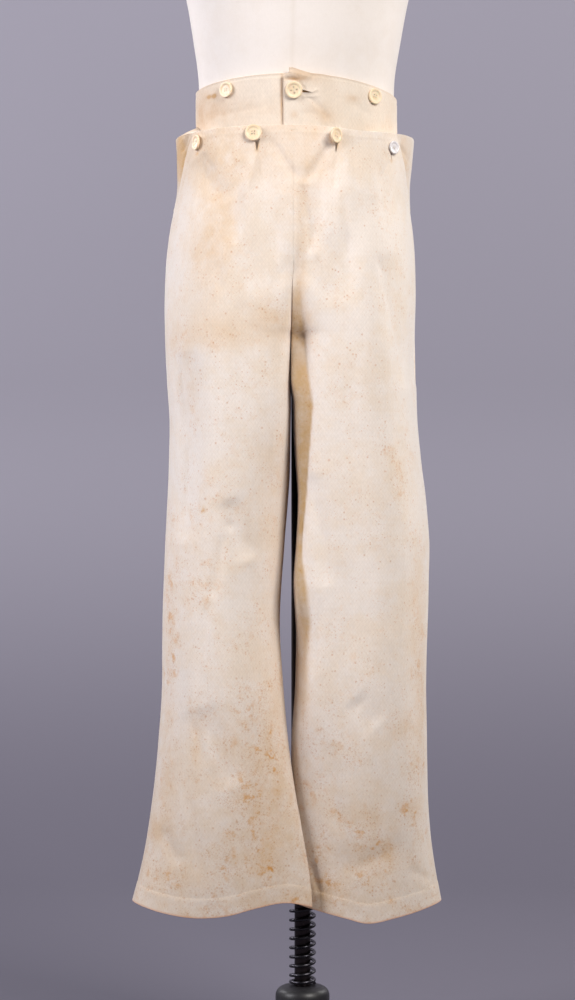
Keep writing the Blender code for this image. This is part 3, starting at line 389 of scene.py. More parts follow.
tree, identifiers, given, result = new_tree("wound_coil", {
    "Turns": "NodeSocketFloat", "Points": "NodeSocketInt", "Low": "NodeSocketFloat",
    "Close Pitch": "NodeSocketFloat", "Open Pitch": "NodeSocketFloat",
    "Coil Radius": "NodeSocketFloat", "Wire Radius": "NodeSocketFloat",
    "Material": "NodeSocketMaterial"})
line = add_node(tree, "GeometryNodeResampleCurve", {
    "Curve": add_node(tree, "GeometryNodeCurvePrimitiveLine"), "Count": given["Points"]})
turns = maths(tree, "MULTIPLY", add_node(tree, "GeometryNodeSplineParameter"), given["Turns"])
last_start = maths(tree, "SUBTRACT", given["Turns"], 1.0)
last_turn = maths(tree, "MAXIMUM", maths(tree, "SUBTRACT", turns, last_start), 0.0)
closed_part = maths(tree, "ADD", maths(tree, "MINIMUM", turns, 1.0), last_turn)
closed_rise = maths(tree, "MULTIPLY_ADD", closed_part, given["Close Pitch"], given["Low"])
coil_rise = maths(tree, "MULTIPLY_ADD", maths(tree, "SUBTRACT", turns, closed_part),
                  given["Open Pitch"], closed_rise)
angle = maths(tree, "MULTIPLY", turns, 2.0 * math.pi)
x, y = (maths(tree, "MULTIPLY", maths(tree, kind, angle), given["Coil Radius"])
        for kind in ("COSINE", "SINE"))
path = add_node(tree, "GeometryNodeSetPosition", {
    "Geometry": line,
    "Position": add_node(tree, "ShaderNodeCombineXYZ", {0: x, 1: y, 2: coil_rise})})
wire = add_node(tree, "GeometryNodeCurveToMesh", {
    "Curve": path, "Fill Caps": True, "Profile Curve": add_node(
        tree, "GeometryNodeCurvePrimitiveCircle", {
            "Resolution": 12, "Radius": given["Wire Radius"]})})
wire = add_node(tree, "GeometryNodeSetShadeSmooth", {"Geometry": wire})
wire = add_node(tree, "GeometryNodeRealizeInstances", {"Geometry": wire})
tree.links.new(add_node(tree, "GeometryNodeSetMaterial", {
    "Geometry": wire, "Material": given["Material"]}), result)
coil = tree

# Blued spring steel: nearly black, smoother than the rod, with a cold sheen.
blued, tree, shader = new_material("blued_spring_steel", Metallic=1.0)
cloud = cloudy(tree, own_place(tree), 90.0, 4.0)
plug(tree, shader, Base_Color=tinted(tree, cloud, "#3A3A42", "#5A575C"),
     Roughness=graded(tree, cloud, 0.3, 0.7, 0.24, 0.42, smooth=False))

spring = grown("coil_spring", bpy.data.meshes.new("coil_start"), coil, identifiers, {
    "Turns": float(coil_turns), "Points": coil_turns * POINTS_A_TURN + 1, "Low": coil_low_z,
    "Close Pitch": CLOSE_PITCH, "Open Pitch": open_height / open_turns,
    "Coil Radius": COIL_RADIUS - WIRE_RADIUS, "Wire Radius": WIRE_RADIUS}, blued)
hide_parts("stand_spring")
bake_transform(spring)


# The tube
# A drawn steel tube that slides over the rod. Its upper end spreads into the flange that the
# form is screwed to, and its lower end rests on the spring.
FORM_LOW_Z = 0.900
TUBE_RADIUS = 0.0133
TUBE_BORE = 0.0100
FLANGE_RADIUS = 0.032
FLANGE_HEIGHT = 0.004
TUBE_TOP_Z = FORM_LOW_Z - CONTACT_GAP
TUBE_PROFILE = (
    (TUBE_BORE, TUBE_LOW_Z, 0.0), (TUBE_RADIUS, TUBE_LOW_Z, 0.0008),
    (TUBE_RADIUS, TUBE_TOP_Z - FLANGE_HEIGHT - 0.006, 0.004),
    (TUBE_RADIUS + 0.006, TUBE_TOP_Z - FLANGE_HEIGHT, 0.003),
    (FLANGE_RADIUS, TUBE_TOP_Z - FLANGE_HEIGHT, 0.0006), (FLANGE_RADIUS, TUBE_TOP_Z, 0.0006),
    (TUBE_BORE, TUBE_TOP_Z, 0.0), (TUBE_BORE, TUBE_LOW_Z, 0.0),
)
wear(turned("steel_tube", TUBE_PROFILE, 64, steel, closed=True), "form_tube")


# The dress form
# A limbless torso of papier-mache, covered with white linen that is seamed at the centre and
# the sides. It is closed at the hips and at the neck.
NECK_TOP_Z = 1.585
WAIST_CENTRE_X = -0.0071
WAIST_POWER = 2.2           # the waist is a little squarer than an ellipse
FORM_POWER = 2.05
FORM_ROWS = 230
FORM_ANGLES = 192
FORM_HEM_Z = 0.930          # below this the form closes, in closer rows
FORM_HEM_ROWS = 14
FORM_WAIST = ((1.000, 0.075), (1.150, 0.150))   # where its waist begins and ends, over what
SEAM_SHIFT = -0.0045        # the front seam lies a little to the right of the middle
SEAM_DEPTH = 0.0005
SEAM_WIDTH = 0.0016
FORM_DUST = 0.24            # the upper form is dusty and a little darker
FORM_DUST_Z = 1.210
FORM_DUST_RUN = 0.260
FORM_NECK_TAN = 0.25        # the linen is yellower where it is turned in at the neck
FORM_NECK_RUN = 0.020
FORM_FOXING = 0.10
FORM_SEAM_WEAR = 0.35
BACK_CLOTH_X = 0.6          # the back's cloth is another part of the same length
# Height, centre across, half width, front and back
FORM_SECTIONS = (
    (0.900, -0.0090, 0.084, -0.060, 0.060),
    (0.906, -0.0090, 0.102, -0.078, 0.078),
    (0.930, -0.0090, 0.122, -0.094, 0.098),
    (0.980, -0.0100, 0.130, -0.104, 0.112),
    (1.020, -0.0095, 0.128, -0.103, 0.108),
    (1.055, -0.0085, 0.123, -0.099, 0.101),
    (1.076, WAIST_CENTRE_X, 0.1155, -0.0966, 0.0966),
    (1.112, WAIST_CENTRE_X, 0.1155, -0.0966, 0.0966),
    (1.150, WAIST_CENTRE_X, 0.1155, -0.0966, 0.0966),
    (1.200, -0.0065, 0.1225, -0.1010, 0.0980),
    (1.250, -0.0060, 0.1315, -0.1060, 0.1010),
    (1.300, -0.0060, 0.1440, -0.1130, 0.1060),
    (1.350, -0.0060, 0.1540, -0.1180, 0.1100),
    (1.400, -0.0060, 0.1620, -0.1140, 0.1080),
    (1.440, -0.0060, 0.1630, -0.0980, 0.0980),
    (1.475, -0.0060, 0.1470, -0.0780, 0.0860),
    (1.500, -0.0060, 0.1150, -0.0620, 0.0720),
    (1.520, -0.0060, 0.0780, -0.0540, 0.0620),
    (1.545, -0.0060, 0.0590, -0.0500, 0.0560),
    (NECK_TOP_Z, -0.0060, 0.0560, -0.0500, 0.0550),
)


def ease(value):
    """Rise smoothly from 0 to 1 as the value does."""
    t = np.clip(value, 0.0, 1.0)
    return t * t * (3.0 - 2.0 * t)


def bell(value, width):
    """1 where the value is 0, falling off smoothly on both sides."""
    return np.exp(-(value / width) ** 2)


def through(knots, values, at):
    """The smooth curve through the values at rising knots."""
    slopes = np.gradient(values, knots)
    low = np.clip(np.searchsorted(knots, at) - 1, 0, len(knots) - 2)
    width = knots[low + 1] - knots[low]
    t = np.clip((at - knots[low]) / width, 0.0, 1.0)
    return (
        (1 + 2 * t) * (1 - t) ** 2 * values[low]
        + t * (1 - t) ** 2 * width * slopes[low]
        + t * t * (3 - 2 * t) * values[low + 1]
        + t * t * (t - 1) * width * slopes[low + 1]
    )


def woven_cloth(name, look):
    """A woven cloth: threads and a small lozenge from the cloth's own UV map, in metres, and
    yellowing, foxing, edge wear, darkening and painted shade from the piece's attribute."""
    made, tree, shader = new_material(
        name, Roughness=look["roughness"], IOR=1.47, Sheen_Weight=look["sheen"],
        Sheen_Roughness=0.5, Specular_IOR_Level=0.3)
    place = own_place(tree)
    uv = add_node(tree, "ShaderNodeUVMap", uv_map="cloth")
    across, up = (add_node(tree, "ShaderNodeSeparateXYZ", {0: uv}, out=i) for i in (0, 1))

    # Threads: warp and weft pass over each other by turns.
    weave = maths(tree, "MULTIPLY", *(
        maths(tree, "SINE", maths(tree, "MULTIPLY", line, 2.0 * math.pi / look["thread"]))
        for line in (across, up)))

    # Figure: lozenges with a dot, woven in the same yarn, so they show as shade more than hue.
    both = maths(tree, "ADD", *(
        maths(tree, "MULTIPLY", maths(tree, "PINGPONG", line, size / 2.0), 2.0 / size)
        for line, size in ((across, look["figure_width"]), (up, look["figure_height"]))))
    from_line = maths(tree, "ABSOLUTE", maths(tree, "SUBTRACT", both, 1.0))
    figure = maths(tree, "MAXIMUM", graded(tree, from_line, 0.10, 0.34, 1.0, 0.0),
                   graded(tree, both, 0.20, 0.44, 1.0, 0.0))

    # Yellowing and painted shade in one colour: uneven at two sizes, stronger where the attribute
    # says.
    age = add_node(tree, "ShaderNodeAttribute", attribute_name="ageing_and_shade")
    tan_and_shade_part, fox_part, edge_part = (
        add_node(tree, "ShaderNodeSeparateColor", {0: age}, out=i) for i in range(3))
    patch = cloudy(tree, place, 55.0, 5.0, 0.65)
    clouds = maths(tree, "MULTIPLY_ADD", patch, 0.6, cloudy(tree, place, 11.0, 4.0, 0.6))
    tint = tinted(tree, graded(tree, clouds, 0.68, 0.98, 0.0, look["mottle"]),
                  look["ground"], look["shade"])
    uneven = graded(tree, patch, 0.3, 0.7, 0.55, 1.15, smooth=False)
    tint = tinted(tree, maths(tree, "MULTIPLY", tan_and_shade_part, uneven, clamp=True), tint, look["stain_and_shade"])

    # Foxing: soft rust blushes, and small specks and blots, each in a random cell of the cloth.
    clump = graded(tree, cloudy(tree, place, 30.0, 3.0, 0.6), 0.44, 0.66, 0.25, 2.0)
    fox_part = maths(tree, "MULTIPLY", fox_part, clump)
    blush = graded(tree, cloudy(tree, place, 95.0, 3.0, 0.65), 0.50, 0.68, 0.0, look["blush"])
    tint = tinted(tree, maths(tree, "MULTIPLY", blush, fox_part, clamp=True), tint, "#E3A75C")
    for scale, smallest, largest, share_kept, strength in look["specks"]:
        cells = add_node(tree, "ShaderNodeTexVoronoi", {"Vector": place, "Scale": scale}, out=1)
        picked, chance = (
            add_node(tree, "ShaderNodeSeparateColor", {0: cells}, out=i) for i in (0, 1))
        size = graded(tree, chance, 0.0, 1.0, smallest, largest, smooth=False)
        kept = maths(tree, "LESS_THAN", picked, maths(tree, "MULTIPLY", fox_part, share_kept))
        spot = graded(tree, cells.node.outputs[0], 0.0, size, 1.0, 0.0)
        amount = maths(tree, "MULTIPLY", maths(tree, "MULTIPLY", spot, kept), strength)
        tint = tinted(tree, amount, tint, look["rust"])

    # Slubs: uneven yarn makes each short run of threads a little lighter or darker. The
    # attribute's alpha darkens them together: dust, darkening towards the hems, and painted shade.
    slubs = cloudy(tree, own_place(tree, (520.0, 520.0, 260.0)), 1.0, 2.0)
    tone = graded(tree, slubs, 0.3, 0.7, 1.0 - look["slub"], 1.0, smooth=False)
    tone = maths(tree, "MULTIPLY", tone, age.node.outputs["Alpha"])
    grey = add_node(tree, "ShaderNodeCombineColor", {0: tone, 1: tone, 2: tone})
    tint = tinted(tree, 1.0, tint, grey, "MULTIPLY")
    tint = tinted(tree, maths(tree, "MULTIPLY", edge_part, 0.75), tint, look["edge"])
    tint = tinted(tree, maths(tree, "MULTIPLY", figure, look["figure"]), tint,
                  look["figure_tone"], "MULTIPLY")

    # Relief: soft crumpling first, then the threads and the figure on it.
    crumple = cloudy(tree, own_place(tree, (1.0, 1.0, 0.45)), 70.0, 3.0, 0.55)
    soft = bumped(tree, crumple, 1.0, look["crumple"])
    raised = maths(tree, "MULTIPLY_ADD", figure, 0.8, weave)
    plug(tree, shader, Base_Color=tint,
         Normal=bumped(tree, raised, 0.7, look["relief"], Normal=soft))
    return made


# Bleached linen, plain woven: white with a faint warm cast and a slightly slubby thread. The
# real thread is 0.5 mm, and it is drawn at 1 mm so that it shows.
form_linen = woven_cloth("bleached_linen", {
    "roughness": 0.85, "thread": 0.0010, "figure_width": 0.004, "figure_height": 0.004,
    "mottle": 0.35, "ground": "#F1E9E3", "shade": "#E9DDD2", "stain_and_shade": "#CDB597",
    "rust": "#B08A60", "edge": "#D8CBBB", "figure": 0.0, "figure_tone": "#FFFFFF",
    "specks": ((120.0, 0.05, 0.10, 0.3, 0.4),), "crumple": 0.0003, "relief": 0.00006,
    "sheen": 0.30, "slub": 0.02, "blush": 0.0})


def set_cloth_data(piece, uv, ageing_and_shade):
    """Give a mesh its UV map in metres and its yellowing, foxing, wear and painted shade, one value
    for each vertex.
    """
    mesh = piece.data
    corners = np.zeros(len(mesh.loops), dtype=np.int32)
    mesh.loops.foreach_get("vertex_index", corners)
    layer = mesh.uv_layers.new(name="cloth")
    layer.data.foreach_set("uv", np.asarray(uv, dtype=np.float32)[corners].ravel())
    field = mesh.attributes.new("ageing_and_shade", "FLOAT_COLOR", "POINT")
    field.data.foreach_set("color", np.asarray(ageing_and_shade, dtype=np.float32).ravel())


form_table = np.array(FORM_SECTIONS)
form_z = np.concatenate([
    np.linspace(FORM_LOW_Z, FORM_HEM_Z, FORM_HEM_ROWS)[:-1],
    np.linspace(FORM_HEM_Z, NECK_TOP_Z, FORM_ROWS - FORM_HEM_ROWS + 1)])
centre, half_width, front_y, back_y = (
    through(form_table[:, 0], form_table[:, i], form_z)[:, None] for i in range(1, 5))
angles = np.linspace(0.0, 2.0 * math.pi, FORM_ANGLES, endpoint=False)
in_waist, out_waist = (ease((form_z - start) / over) for start, over in FORM_WAIST)
power = 2.0 / (FORM_POWER + (WAIST_POWER - FORM_POWER) * in_waist * (1.0 - out_waist))[:, None]
along, away = (np.sign(t) * np.abs(t) ** power for t in (np.cos(angles), np.sin(angles)))
x = half_width * along
y = np.where(away > 0.0, back_y, -front_y) * away
seams = np.maximum(bell(x - SEAM_SHIFT, SEAM_WIDTH), bell(y, SEAM_WIDTH))
pressed = 1.0 - SEAM_DEPTH * seams / np.hypot(x, y)
ring = np.stack([centre + x * pressed, y * pressed,
                 np.repeat(form_z[:, None], FORM_ANGLES, axis=1)], axis=2).reshape(-1, 3)
vertices = np.concatenate([ring, [(form_table[0, 1], 0.0, FORM_LOW_Z),
                                  (form_table[-1, 1], 0.0, NECK_TOP_Z)]])
here = np.arange(len(ring)).reshape(-1, FORM_ANGLES)
beside = np.roll(here, -1, axis=1)
faces = np.stack([here[:-1], beside[:-1], beside[1:], here[1:]], axis=2).reshape(-1, 4).tolist()
faces += [(n, c, len(ring)) for c, n in zip(here[0].tolist(), beside[0].tolist())]
faces += [(c, n, len(ring) + 1) for c, n in zip(here[-1].tolist(), beside[-1].tolist())]
dress_form = add_mesh("dress_form", vertices, faces, form_linen)
form_uv = np.stack([
    np.where(vertices[:, 1] > 0.0, BACK_CLOTH_X - vertices[:, 0], vertices[:, 0]),
    vertices[:, 2]], axis=1)
form_age = np.zeros((len(vertices), 4))
form_age[:, 0] = FORM_NECK_TAN * bell(vertices[:, 2] - NECK_TOP_Z, FORM_NECK_RUN)
form_age[:, 1] = FORM_FOXING
form_age[:len(ring), 2] = FORM_SEAM_WEAR * seams.ravel()
form_age[:, 3] = 1.0 - FORM_DUST * ease((vertices[:, 2] - FORM_DUST_Z) / FORM_DUST_RUN)
set_cloth_data(dress_form, form_uv, form_age)
wear(dress_form, "form_torso")


# The neck cap
# A turned beech cap with a small knob, stained dark and varnished, pressed onto the neck.
CAP_RADIUS = 0.050
CAP_HEIGHT = 0.022
CAP_CENTRE = (-0.0060, 0.0025)
CAP_LOW_Z = NECK_TOP_Z + CONTACT_GAP
# Radius and height, as shares of the cap's, and how far the corner is rounded
CAP_TURNING = (
    (0.0, 0.0, 0.0), (0.96, 0.0, 0.001), (1.0, 0.3, 0.006), (0.90, 0.75, 0.008),
    (0.45, 1.0, 0.006), (0.20, 1.2, 0.004), (0.30, 1.7, 0.006), (0.22, 2.1, 0.004),
    (0.0, 2.2, 0.0))

# Stained and varnished beech: short dark flecks along the grain under a satin varnish.
beech, tree, shader = new_material("stained_beech", IOR=1.5, Coat_Weight=0.4, Coat_Roughness=0.2)
flecks = cloudy(tree, own_place(tree, (40.0, 260.0, 260.0)), 1.0, 6.0, 0.6, 0.6)
plug(tree, shader, Base_Color=tinted(tree, flecks, "#2E1C12", "#6B4328"),
     Roughness=graded(tree, flecks, 0.3, 0.7, 0.36, 0.5, smooth=False))

cap_profile = [(CAP_RADIUS * radius, CAP_LOW_Z + CAP_HEIGHT * height, corner)
               for radius, height, corner in CAP_TURNING]
wear(turned("neck_cap", cap_profile, 96, beech, centre=CAP_CENTRE), "form_neck_cap")


# The back legs
# Each back is one length of figured cotton, from the hem to the seam of the waistband. It is
# sewn to its front at the side and the inseam, and to the other back down the seat.
WALL = 0.0012               # one layer of the trouser cloth
BAND_WALL = 0.0024          # the waistband, cloth on both sides of a canvas
SEAM_GAP = 0.0001           # between two pieces that are sewn edge to edge
LAYER_GAP = 0.0005          # between two layers that lie on each other
HEM_RAISE = 0.0004          # how far the turned-up hem stands proud
HEM_DEPTH = 0.022           # height of the turned-up hem
HEM_STEP = 0.002            # its edge shows as a step over this height
HEM_WEAR_RUN = 0.0016       # its fold is rubbed over this height

# Heights above the floor
HEM_Z = 0.182               # the hem before it dips and lifts round each leg
CROTCH_Z = 0.850
SLIT_END_Z = 1.000          # the fall's side openings end here
HIP_TOP_Z = 1.0835          # where the hips turn in towards the waistband
BAND_LOW_Z = 1.098          # seam of the waistband at the sides and back
BAND_LOW_FRONT_Z = 1.079    # its lower edge behind the fall
BAND_TOP_SIDE_Z = 1.138
BAND_TOP_FRONT_Z = 1.1474
BAND_LEFT_DROP = 0.0090     # the left half's top edge is this much lower at the side
BAND_DROP_POWER = 1.3
FALL_TOP_RISE = 0.0035      # the fall's top edge is higher at the centre front
FALL_DIP = 0.0042           # and sags beside the left inner button
FALL_DIP_X = 0.066
FALL_DIP_WIDTH = 0.036
FALL_BEND_Z = 1.055         # and bends up to it from here
FALL_HALF_WIDTH = 0.120
HEM_FADE = 0.150            # the hem's dip and lift fade out over this height

# Across the garment
CENTRE_FRONT_X = -0.0112    # the centre front seam
CENTRE_BACK_X = -0.0040
BAND_CENTRE_X = -0.0071
BAND_HALF_WIDTH = 0.1189
BAND_HALF_DEPTH = 0.1000
BAND_POWER = 2.2            # 2 is an ellipse, more is squarer
OVERLAP_END_X = -0.0240     # end of the left half, which lies over the right
UNDERLAP_END_X = 0.0180     # end of the right half, under the left
BAND_GAPE = 0.0035          # how far the loose corner of the left half leans out
BAND_LIFT = 0.0055          # and how much higher that corner stands
BAND_CORNER_X = 0.012       # the corner rises and leans from here
BAND_CORNER_RUN = 0.030
BAND_LEAN_PART = 0.45       # the upper part of the corner leans, above this share
BAND_LAP_X = 0.034          # the left half steps out over the right from here
BAND_LAP_RUN = 0.014
SLIT_LOW_ARC = 0.025        # from the side seam to the slit, along the cloth, at its end
SLIT_HIGH_ARC = 0.080       # and at the fall's corner
BEARER_END_X = 0.090        # where the bearer ends along the waistband, from centre front
FRONT_RISE_Z = 0.955        # below this the front seam curves back to the crotch
BACK_RISE_Z = 0.970         # and the back seam forward
FORK_LOW_Z = 0.838          # the back seam opens round the pole between here
FORK_HIGH_Z = 0.853         # and here
FORK_BACK_Y = 0.032
OUTER_POWER = 2.15          # shape of the sections' outer quarters
TUBE_CLEAR_RADIUS = 0.0195  # the cloth passes the tube outside this
SPRING_CLEAR_RADIUS = 0.0230
SPRING_CLEAR_RUN = 0.060    # wider for the spring up to here in the tube
FORK_CLEAR_RADIUS = 0.0270  # wider where the seam opens round the tube
FORK_CLEAR_BELOW = 0.040    # from here below that
FORK_CLEAR_RUN = 0.035
POLE_CLEAR_REACH = 0.046    # and turns aside this far before and behind
POLE_CLEAR_DIP = 0.020
FRONT_CROWDING = 1.35       # the fronts' columns crowd towards the inseam, at its crease
BACK_CROWDING = 1.2         # and the backs' columns round the pole
CURVE_POINTS = 48           # points along each quarter of a section before it is spaced

# One row for each section from the hem up, in millimetres. "out" is the side seam, "front" and
# "back" the foremost and rearmost points, "in" the inseam. From the inseam the front turns at
# "x_corner", softly with a weight under 1 and as a crease with one over 2. "back_power" shapes
# the quarter from the inseam to the back. The last two are plain numbers.
MM = 0.001
SECTION_COLUMNS = ("z", "x_out", "y_out", "x_front", "y_front", "x_in", "y_in",
                   "x_back", "y_back", "x_corner", "corner_weight", "back_power")
SECTIONS = {
    "right": (
        (182, -200, -20, -92, -80, 11.2, -70, -100, 22, 11.2, 0.65, 1.25),
        (215.1, -191.8, -18, -92, -83, 8.6, -67, -98, 28, 8.6, 0.65, 1.25),
        (248.3, -185.2, -15, -90, -85, 3.8, -64, -96, 35, 3.8, 0.65, 1.25),
        (286.1, -179.8, -12, -89, -88, -2.6, -60, -94, 42, -2.6, 0.65, 1.25),
        (324, -175, -10, -88, -90, -8.8, -55, -93, 48, -8.8, 0.65, 1.3),
        (366.6, -170.7, -8, -88, -92, -15.2, -48, -92, 55, -15.2, 0.65, 1.35),
        (430.4, -166.4, -6, -90, -95, -21.2, -40, -92, 64, -21.2, 0.65, 1.45),
        (521.5, -165.2, -4, -94, -98, -26.9, -34, -93, 74, -26.9, 0.65, 1.6),
        (604.3, -162.4, -2, -92, -102, -21.5, -34, -91, 83, -21.5, 0.71, 1.8),
        (687, -158.7, 0, -87, -106, -15.2, -34, -88, 92, -13, 1, 2),
        (753.4, -157.6, 0, -84, -110, -15, -35, -86, 100, -10, 1.7, 2.1),
        (800, -160.4, 0, -83, -112, -15.2, -36, -84, 107, -9.2, 2.2, 2.2),
        (850, -162.4, 0, -80, -114, -14, -37, -82, 116, -9.2, 2.2, 2.2),
        (900, -162.6, 0, -72, -116, -12, -37, -75, 125, -10.4, 1.5, 2.2),
        (950, -160.1, 2, -60, -117, -11.2, -37, -65, 128, -11.2, 0.71, 2.2),
        (981.7, -155.9, 4, -53, -117, -11.2, -37, -58, 127, -11.2, 0.76, 2.2),
        (1003, -151.7, 5, -50, -116, -11.2, -37, -54, 125, -11.2, 0.76, 2.2),
        (1019.6, -148.8, 5, -48, -114, -11.2, -37, -52, 122, -11.2, 0.76, 2.2),
        (1055.1, -148.9, 5, -46, -110, -11.2, -37, -50, 113, -11.2, 0.76, 2.2),
        (1083.5, -150, 5, -45, -107, -11.2, -37, -50, 105, -11.2, 0.76, 2.2),
    ),
    "left": (
        (182, 162.5, -20, 72, -72, -7.7, -34, 80, 26, -7.7, 0.45, 1.3),
        (215.1, 156.8, -18, 70, -74, -8.5, -34, 80, 31, -8.5, 0.45, 1.3),
        (248.3, 152.2, -15, 68, -77, -9.8, -34, 78, 38, -9.8, 0.45, 1.35),
        (286.1, 149.2, -12, 66, -81, -11.8, -34, 77, 45, -10, 0.5, 1.4),
        (324, 147.8, -10, 65, -85, -13.2, -35, 76, 51, -8, 0.6, 1.45),
        (372.5, 146.9, -8, 64, -89, -13.8, -36, 75, 58, -4, 1, 1.5),
        (441.1, 145.5, -6, 63, -93, -9.2, -37, 75, 67, 1, 2.2, 1.6),
        (505, 147.6, -4, 66, -96, -7.8, -37, 76, 73, 5, 3, 1.7),
        (564.1, 149, -2, 68, -99, -10.4, -37, 76, 80, -5, 3, 1.8),
        (610.3, 149.7, 0, 68, -102, -7.7, -37, 75, 86, -3.5, 3, 1.9),
        (655.2, 145.9, 0, 66, -105, -6.3, -37, 73, 92, 0, 3, 2),
        (712, 139.4, 0, 63, -108, -9.5, -37, 70, 98, 4, 3, 2.1),
        (753.4, 135.5, 0, 61, -110, -11.8, -37, 68, 102, 6, 3, 2.1),
        (800, 134.2, 0, 60, -112, -14.2, -37, 66, 108, 5, 2.8, 2.2),
        (850, 133.5, 0, 58, -114, -13.4, -37, 64, 116, 3.6, 2.2, 2.2),
        (900, 133.9, 0, 50, -116, -11.6, -37, 56, 125, -1, 1.4, 2.2),
        (943.9, 132.6, 2, 39, -117, -11.2, -37, 48, 128, -9, 0.8, 2.2),
        (976.3, 130, 4, 32, -117, -11.2, -37, 42, 127, -11.2, 0.76, 2.2),
        (1003, 126.8, 5, 28, -116, -11.2, -37, 38, 125, -11.2, 0.76, 2.2),
        (1024.3, 126.5, 5, 26, -114, -11.2, -37, 36, 121, -11.2, 0.76, 2.2),
        (1055.1, 129, 5, 24, -110, -11.2, -37, 34, 113, -11.2, 0.76, 2.2),
        (1083.5, 131.8, 5, 22, -107, -11.2, -37, 34, 105, -11.2, 0.76, 2.2),
    ),
}
section_units = np.array([MM] * 10 + [1.0, 1.0])
section_tables = {side: np.array(rows) * section_units for side, rows in SECTIONS.items()}

# The hem's height across each leg, x then z, front and back
HEM_LINES = {
    ("right", "front"): ((-0.200, 0.1895), (-0.165, 0.1815), (-0.120, 0.1767), (-0.085, 0.1798),
                         (-0.055, 0.1879), (-0.018, 0.1940), (0.012, 0.1885)),
    ("right", "back"): ((-0.200, 0.1895), (-0.100, 0.1850), (0.012, 0.1885)),
    ("left", "front"): ((-0.008, 0.1876), (0.015, 0.1826), (0.052, 0.1744), (0.072, 0.1697),
                        (0.110, 0.1760), (0.162, 0.1895)),
    ("left", "back"): ((-0.008, 0.1876), (0.075, 0.1850), (0.162, 0.1895)),
}

